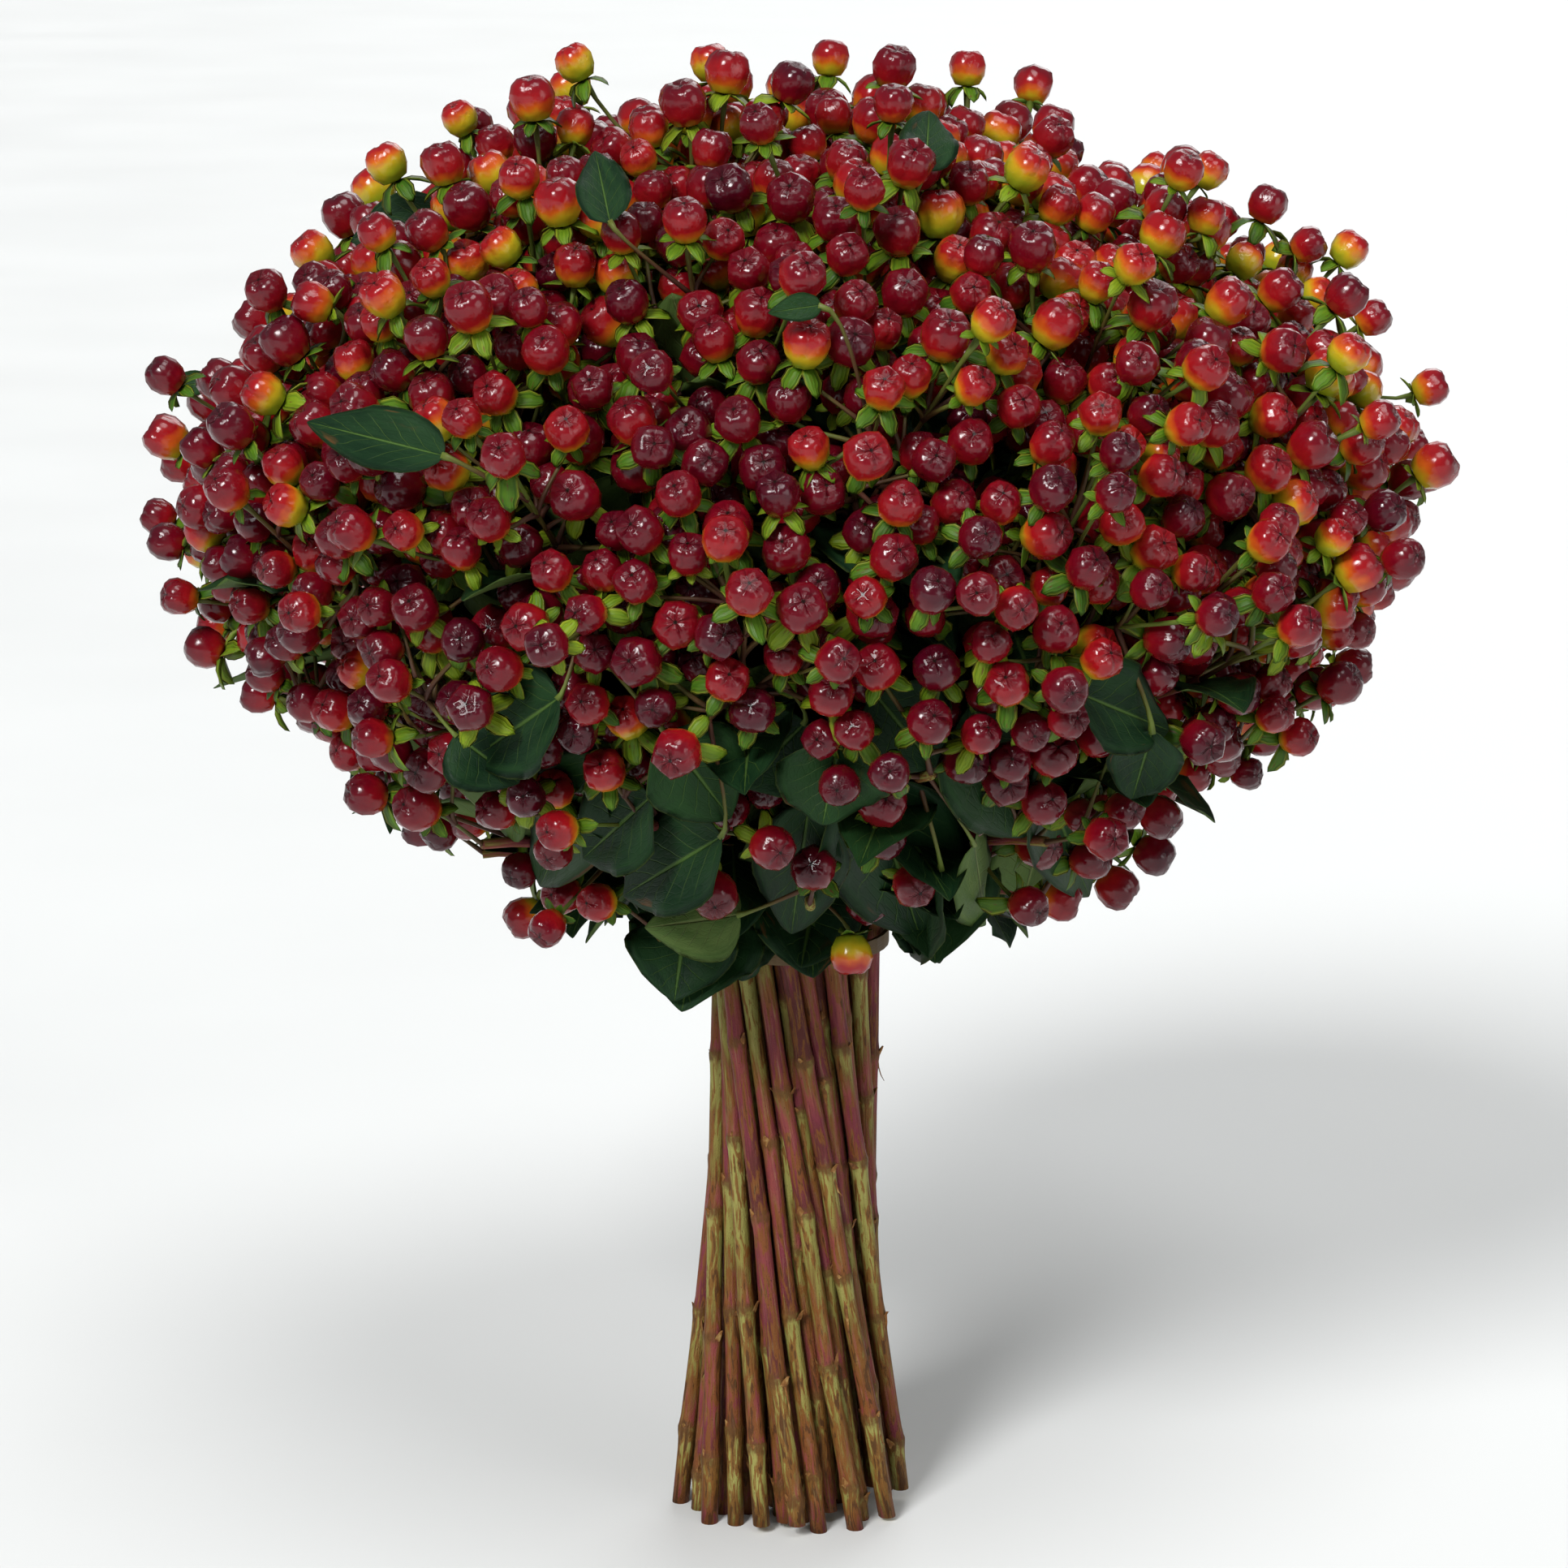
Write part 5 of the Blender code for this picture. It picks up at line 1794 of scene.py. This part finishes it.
# %% Leaf finish, and the leaves
def leaf_finish():
    """Dark green with pale veins above, olive with darker veins beneath, and a few brown marks."""
    f = Finish("leaf_green", Specular_IOR_Level=0.13)
    blade = f.vector("blade")
    chance = f.value("chance")
    side, share, layer = f.parts(blade)
    own = f.moved(blade, f.start(chance, 0.3, 0.6, 30.0))
    reach = f.sum("ABSOLUTE", side)
    mottle = f.noise(own, 2.4, 4.0)
    above = f.mix(f.step(mottle, 0.3, 0.7), (0.0040, 0.0180, 0.0066), (0.0100, 0.035, 0.0100))
    above = f.mix(f.step(chance, 0.55, 1.0, 0.0, 0.5), above, (0.014, 0.050, 0.009))
    beneath = f.mix(f.step(mottle, 0.3, 0.7), (0.050, 0.095, 0.020), (0.085, 0.135, 0.034))
    is_beneath = f.step(layer, 0.0, -0.02)
    wander = f.times(f.less(f.noise(own, 2.0, 1.0), 0.5), 0.10)
    sweep = f.less(share, f.times(f.sum("POWER", reach, 0.8), 0.30))
    wave = f.sum("FRACT", f.times(f.plus(sweep, wander), 7.0))
    rib = f.sum("ABSOLUTE", f.less(wave, 0.5))
    ribs = f.times(f.step(rib, 0.055, 0.012), f.step(reach, 0.85, 0.35))
    midrib = f.step(reach, 0.055, 0.015)
    veins = f.sum("MAXIMUM", midrib, f.times(ribs, 0.6))
    above = f.mix(f.times(veins, 0.55), above, (0.085, 0.16, 0.03))
    beneath = f.mix(f.times(veins, 0.6), beneath, (0.16, 0.20, 0.07))
    colour = f.mix(is_beneath, above, beneath)
    colour = f.mix(f.step(reach, 0.95, 1.0, 0.0, 0.5), colour, (0.09, 0.13, 0.02))
    scorch = f.times(f.step(f.noise(own, 1.5, 4.0, 0.5), 0.66, 0.72), f.step(reach, 0.3, 0.9))
    colour = f.mix(f.times(scorch, 0.8), colour, (0.10, 0.04, 0.012))
    net = f.node("TexVoronoi", {"Vector": own, "Scale": 9.0}, "Distance", feature="DISTANCE_TO_EDGE")
    height = f.plus(f.times(veins, -1.0), f.times(f.step(net, 0.0, 0.12), 0.12))
    rough = f.plus(f.step(mottle, 0.3, 0.7, 0.46, 0.60), f.times(is_beneath, 0.15))
    return f.end(colour, rough, f.bump(height, 0.0006, 0.8))


LOW_TIPS_BELOW = 0.27

leaf_green = leaf_finish()
grown_leaves = [leaf for _, leaf in main_leaves + added_leaves]
low_leaves = [leaf for leaf in grown_leaves if leaf.point(1, 0)[2] < LOW_TIPS_BELOW] + seen_leaves
high_leaves = [leaf for leaf in grown_leaves if leaf.point(1, 0)[2] >= LOW_TIPS_BELOW]
for name, group in (("leaves_of_the_collar", low_leaves), ("leaves_of_the_head", high_leaves)):
    piece = leaf_piece(name, group, leaf_green, BLADE_SHARES, BLADE_SIDES)
    print(len(group), "leaves;", keep_in_box(piece.data), "points drawn in")
    ride_along(piece)

# %% [markdown]
# ## Leaves in the dark
#
# Deep inside the head the stems are thick with leaves too. They are what turns the gaps between berries
# dark. Nobody sees their outline, so they have a coarse grid, and only their depth is tested.

# %% Deep leaves
DEEP_COUNT = 290
DEEP_BELOW = 0.037
DEEP_HEIGHTS = (0.225, 0.44)
DEEP_BROADER = 1.3
DEEP_LEAF = {"stretch": 0.500, "turn": 1.6, "rise": (-50, 70), "length": (0.050, 0.078)}
COARSE_SHARES = np.array([0.02, 0.16, 0.36, 0.58, 0.80, 0.96])
COARSE_SIDES = np.array([-1, -0.5, 0, 0.5, 1])


def is_deep(points):
    outline = np.interp(points[:, 2], OUTLINE_HEIGHTS, OUTLINE_RADII)
    reach = np.hypot(points[:, 0], points[:, 1])
    lowest, highest = DEEP_HEIGHTS
    is_level = points[:, 2].max() < highest and points[:, 2].min() > lowest
    return bool((reach < outline - DEEP_BELOW).all() and is_level)


def deep_leaves():
    random = np.random.RandomState(SEED + 42)
    found = []
    while len(found) < DEEP_COUNT:
        stem = random.randint(STEM_COUNT)
        leaf = draw_leaf(random, stem, smooth_routes[stem], False, DEEP_LEAF)
        leaf.width *= DEEP_BROADER
        if is_deep(leaf.samples()):
            found.append(leaf)
    return found


piece = leaf_piece("leaves_in_the_dark", deep_leaves(), leaf_green, COARSE_SHARES, COARSE_SIDES)
ride_along(piece)

# %% [markdown]
# ## Scars and loose bark at the joints
#
# Where the lower leaves were stripped off, each joint keeps a pair of small dry scales, and near the foot
# the bark flakes. Both are tiny shapes set on the joints by the tree that set the berries, with their Y
# along the stem.


# %% Shapes of scales and flakes
SCALE_SHAPES = (
    # thickness, then rows of distance along the strip, lift off the stem and half width
    (0.0004, (-0.0014, -0.0003, 0.0017), (0.0006, 0.0005, 0.0014), (0.0024, 0.0011, 0.0003)),
    (0.0005, (-0.0018, -0.0002, 0.0019), (0.0002, 0.0008, 0.0012), (0.0013, 0.0016, 0.0004)),
    (0.0003, (-0.0010, -0.0003, 0.0015), (0.0012, 0.0003, 0.0013), (0.0034, 0.0006, 0.0002)),
)
FLAKE_SHAPES = (
    (2e-4, (0, -0.0002, 0.0012), (0.006, 0.0004, 0.0010), (0.011, 0.0017, 0.0007), (0.015, 0.0036, 0.0002)),
    (2e-4, (0, -0.0002, 0.0009), (0.004, 0.0007, 0.0011), (0.008, 0.0010, 0.0006), (0.010, 0.0024, 0.0002)),
    (2e-4, (0, -0.0002, 0.0014), (0.009, 0.0002, 0.0009), (0.018, 0.0012, 0.0006), (0.024, 0.0010, 0.0002)),
)


def strip_shape(name, thick, rows, collection):
    """A thin curled strip of the given rows."""
    places = []
    for up, lift, half in rows:
        edge = lift - half * 0.4
        places += [(-half, up, edge), (0, up, lift + thick), (half, up, edge), (0, up, lift)]
    faces = [(0, 3, 2, 1)]
    for row in range(len(rows) - 1):
        for side in range(4):
            a, b = 4 * row + side, 4 * row + (side + 1) % 4
            faces.append((a, b, b + 4, a + 4))
    last = 4 * (len(rows) - 1)
    faces.append((last, last + 1, last + 2, last + 3))
    shape_in(collection, name, places, faces)
    return len(faces)


def strip_shapes(title, table):
    """A collection of the strips of one table."""
    collection = bpy.data.collections.new(title + "_shapes")
    for number, (thick, *rows) in enumerate(table):
        faces = strip_shape(f"{title}_{number}", thick, rows, collection)
    print("a", title, "has", faces, "faces")
    return collection


scale_shapes = strip_shapes("scale", SCALE_SHAPES)
flake_shapes = strip_shapes("flake", FLAKE_SHAPES)


# %% Scale finish, and the scales and flakes
def scale_finish():
    """Dry orange-brown bark with pale torn edges."""
    f = Finish("dry_scale", Specular_IOR_Level=0.2)
    place = f.node("TexCoord", {}, "Object")
    mottle = f.noise(place, 420.0, 4.0)
    colour = f.ramp(
        mottle, (0.3, (0.075, 0.028, 0.010)), (0.55, (0.20, 0.085, 0.022)), (0.8, (0.40, 0.27, 0.10))
    )
    return f.end(colour, f.step(mottle, 0.3, 0.7, 0.6, 0.85), f.bump(mottle, 0.0004))


SCALES_UP_TO = 0.215
SCALE_SEAT = 1.04
SCALE_SIZES = (0.75, 1.25)
FLAKE_SIZES = (0.35, 0.75)
FLAKE_CHANCE, FLAKE_FADE = 0.75, 2.4
FLAKE_FACES_OUT = 0.2
FLAKE_DROP = 0.006
HANGING_ABOVE = 0.035


def random_kind(random):
    return random.randint(len(SCALE_SHAPES)) + KIND_MARGIN


def joint_points(random):
    """Places and ways of two opposite scales at each joint of the bare neck, and of the flakes."""
    scales, flakes = [], []
    for number, (path, route) in enumerate(zip(stem_paths, smooth_routes)):
        way = unit(route[1] - route[0])
        radius = radii[number]
        first = random.uniform(0, math.pi)
        for turn, joint in enumerate(path[2]):
            if joint[2] > SCALES_UP_TO:
                continue
            right = unit(np.cross(way, [0, 0.3, 1]))
            back = np.cross(way, right)
            for half in (0, 1):
                angle = first + turn * math.pi / 2 + half * math.pi
                out = right * math.cos(angle) + back * math.sin(angle)
                size = random.uniform(*SCALE_SIZES)
                scales.append((joint + out * radius * SCALE_SEAT, out, way, size, random_kind(random)))
                away = out @ unit(np.array([joint[0], joint[1], 0]) + 1e-9)
                if away > FLAKE_FACES_OUT and random.uniform() < FLAKE_CHANCE - FLAKE_FADE * joint[2]:
                    start = joint + out * radius - way * random.uniform(0.0, FLAKE_DROP)
                    hang = -way if random.uniform() < 0.5 and joint[2] > HANGING_ABOVE else way
                    flakes.append((start, out, hang, random.uniform(*FLAKE_SIZES), random_kind(random)))
    return scales, flakes


dry_scale = scale_finish()
scales, flakes = joint_points(np.random.RandomState(SEED + 50))
for name, points, shapes in (("joint_scales", scales, scale_shapes), ("bark_flakes", flakes, flake_shapes)):
    places, outs, leans_up, sizes, kinds_here = zip(*points)
    source = points_mesh(name, places, nod=outs, lean=leans_up, size=sizes, kind=kinds_here)
    piece = grown(name, source, SETTING, (), Shapes=shapes, Material=dry_scale)
    print(len(points), "set;", keep_in_box(piece.data), "points drawn in")
    ride_along(piece)

# %% [markdown]
# ## The elastic tie
#
# The tie keeps its imported shape, because a plain band is all that there is to it. It only takes a better
# surface: natural rubber with a dusty, finely ribbed skin, coloured far darker than the rubber itself as
# painted shade under the leaves.


# %% Tie finish
def tie_finish():
    f = Finish("natural_rubber", Specular_IOR_Level=0.3)
    place = f.node("TexCoord", {}, "Object")
    stretched = f.node("Mapping", {"Vector": place, "Scale": (1.0, 1.0, 9.0)})
    ribs = f.noise(stretched, 260.0, 2.0)
    dust = f.noise(place, 90.0, 4.0)
    # Both browns lie far below the pale rubber's own colour: painted shade from the collar of leaves above
    colour = f.ramp(dust, (0.3, (0.085, 0.050, 0.022)), (0.7, (0.150, 0.098, 0.048)))
    return f.end(colour, f.step(dust, 0.3, 0.7, 0.55, 0.8), f.bump(f.plus(ribs, dust), 0.0002))


frame["nodes"]["elastic_tie"].material_slots[0].material = tie_finish()

# %% [markdown]
# ## Floor and light
#
# The photograph was taken in soft light, brightest from the upper left. One soft light on that side, low
# enough to reach the stems, a weaker one on the right and one from above give the same broad highlights.
# One from behind and a pale sky fill in. All four are far away like the sun, so they light the plain pale
# floor evenly, as a backdrop needs.

# %% Floor
FLOOR_SIZE = 60

half = FLOOR_SIZE / 2
corners = [(-half, -half, 0), (half, -half, 0), (half, half, 0), (-half, half, 0)]
floor = new_object("floor", points_mesh("floor", corners, (), [(0, 1, 2, 3)]))


def floor_finish():
    f = Finish("pale_floor", Specular_IOR_Level=0.2)
    place = f.node("TexCoord", {}, "Object")
    cloud = f.noise(place, 3.0, 3.0)
    colour = f.ramp(cloud, (0.3, (0.695, 0.705, 0.70)), (0.7, (0.72, 0.73, 0.725)))
    return f.end(colour, f.step(cloud, 0.3, 0.7, 0.55, 0.65))


floor.data.materials.append(floor_finish())
floor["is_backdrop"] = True
print("floor of", FLOOR_SIZE, "m")

# %% Lights
SKY_COLOUR = (0.80, 0.83, 0.84, 1)
SKY_STRENGTH = 0.26
# Angles in degrees: azimuth from the camera's side, height above the floor, and softness
LAMPS = (
    # name, azimuth, height, strength, softness
    ("key_light", -28, 37, 3.0, 18),
    ("fill_light", 48, 14, 0.5, 30),
    ("top_light", 15, 68, 1.35, 30),
    ("back_light", 165, 30, 0.9, 40),
)
for name, turn, rise, strength, softness in LAMPS:
    lamp = bpy.data.lights.new(name, "SUN")
    lamp.energy = strength
    lamp.angle = math.radians(softness)
    new_object(name, lamp).rotation_euler = (math.radians(90 - rise), 0, math.radians(turn))

world = bpy.data.worlds.new("pale_sky")
bpy.context.scene.world = world
world.use_nodes = True
sky = world.node_tree.nodes["Background"].inputs
sky["Color"].default_value = SKY_COLOUR
sky["Strength"].default_value = SKY_STRENGTH
bpy.context.scene.view_settings.view_transform = "Standard"
print(len(LAMPS), "lamps")

# %% [markdown]
# ## Last look at the sizes
#
# Both boxes are set side by side, and how far the dressed bunch reaches past the imported one is printed.
# The dressed bunch has to stay inside the imported model's box.

# %% Sizes and the end
for shapes in (berry_shapes, sepal_rings, scale_shapes, flake_shapes):
    for holder in list(shapes.objects):
        bpy.data.objects.remove(holder)
    bpy.data.collections.remove(shapes)

dressed_low, dressed_high = (np.array(corner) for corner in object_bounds())
sizes = {
    "cad_low": BOX_LOW.tolist(),
    "cad_high": BOX_HIGH.tolist(),
    "visual_low": dressed_low.tolist(),
    "visual_high": dressed_high.tolist(),
}
past = [(1000 * (BOX_LOW - dressed_low)).round(2), (1000 * (dressed_high - BOX_HIGH)).round(2)]
print("past the box, in mm:", *past)
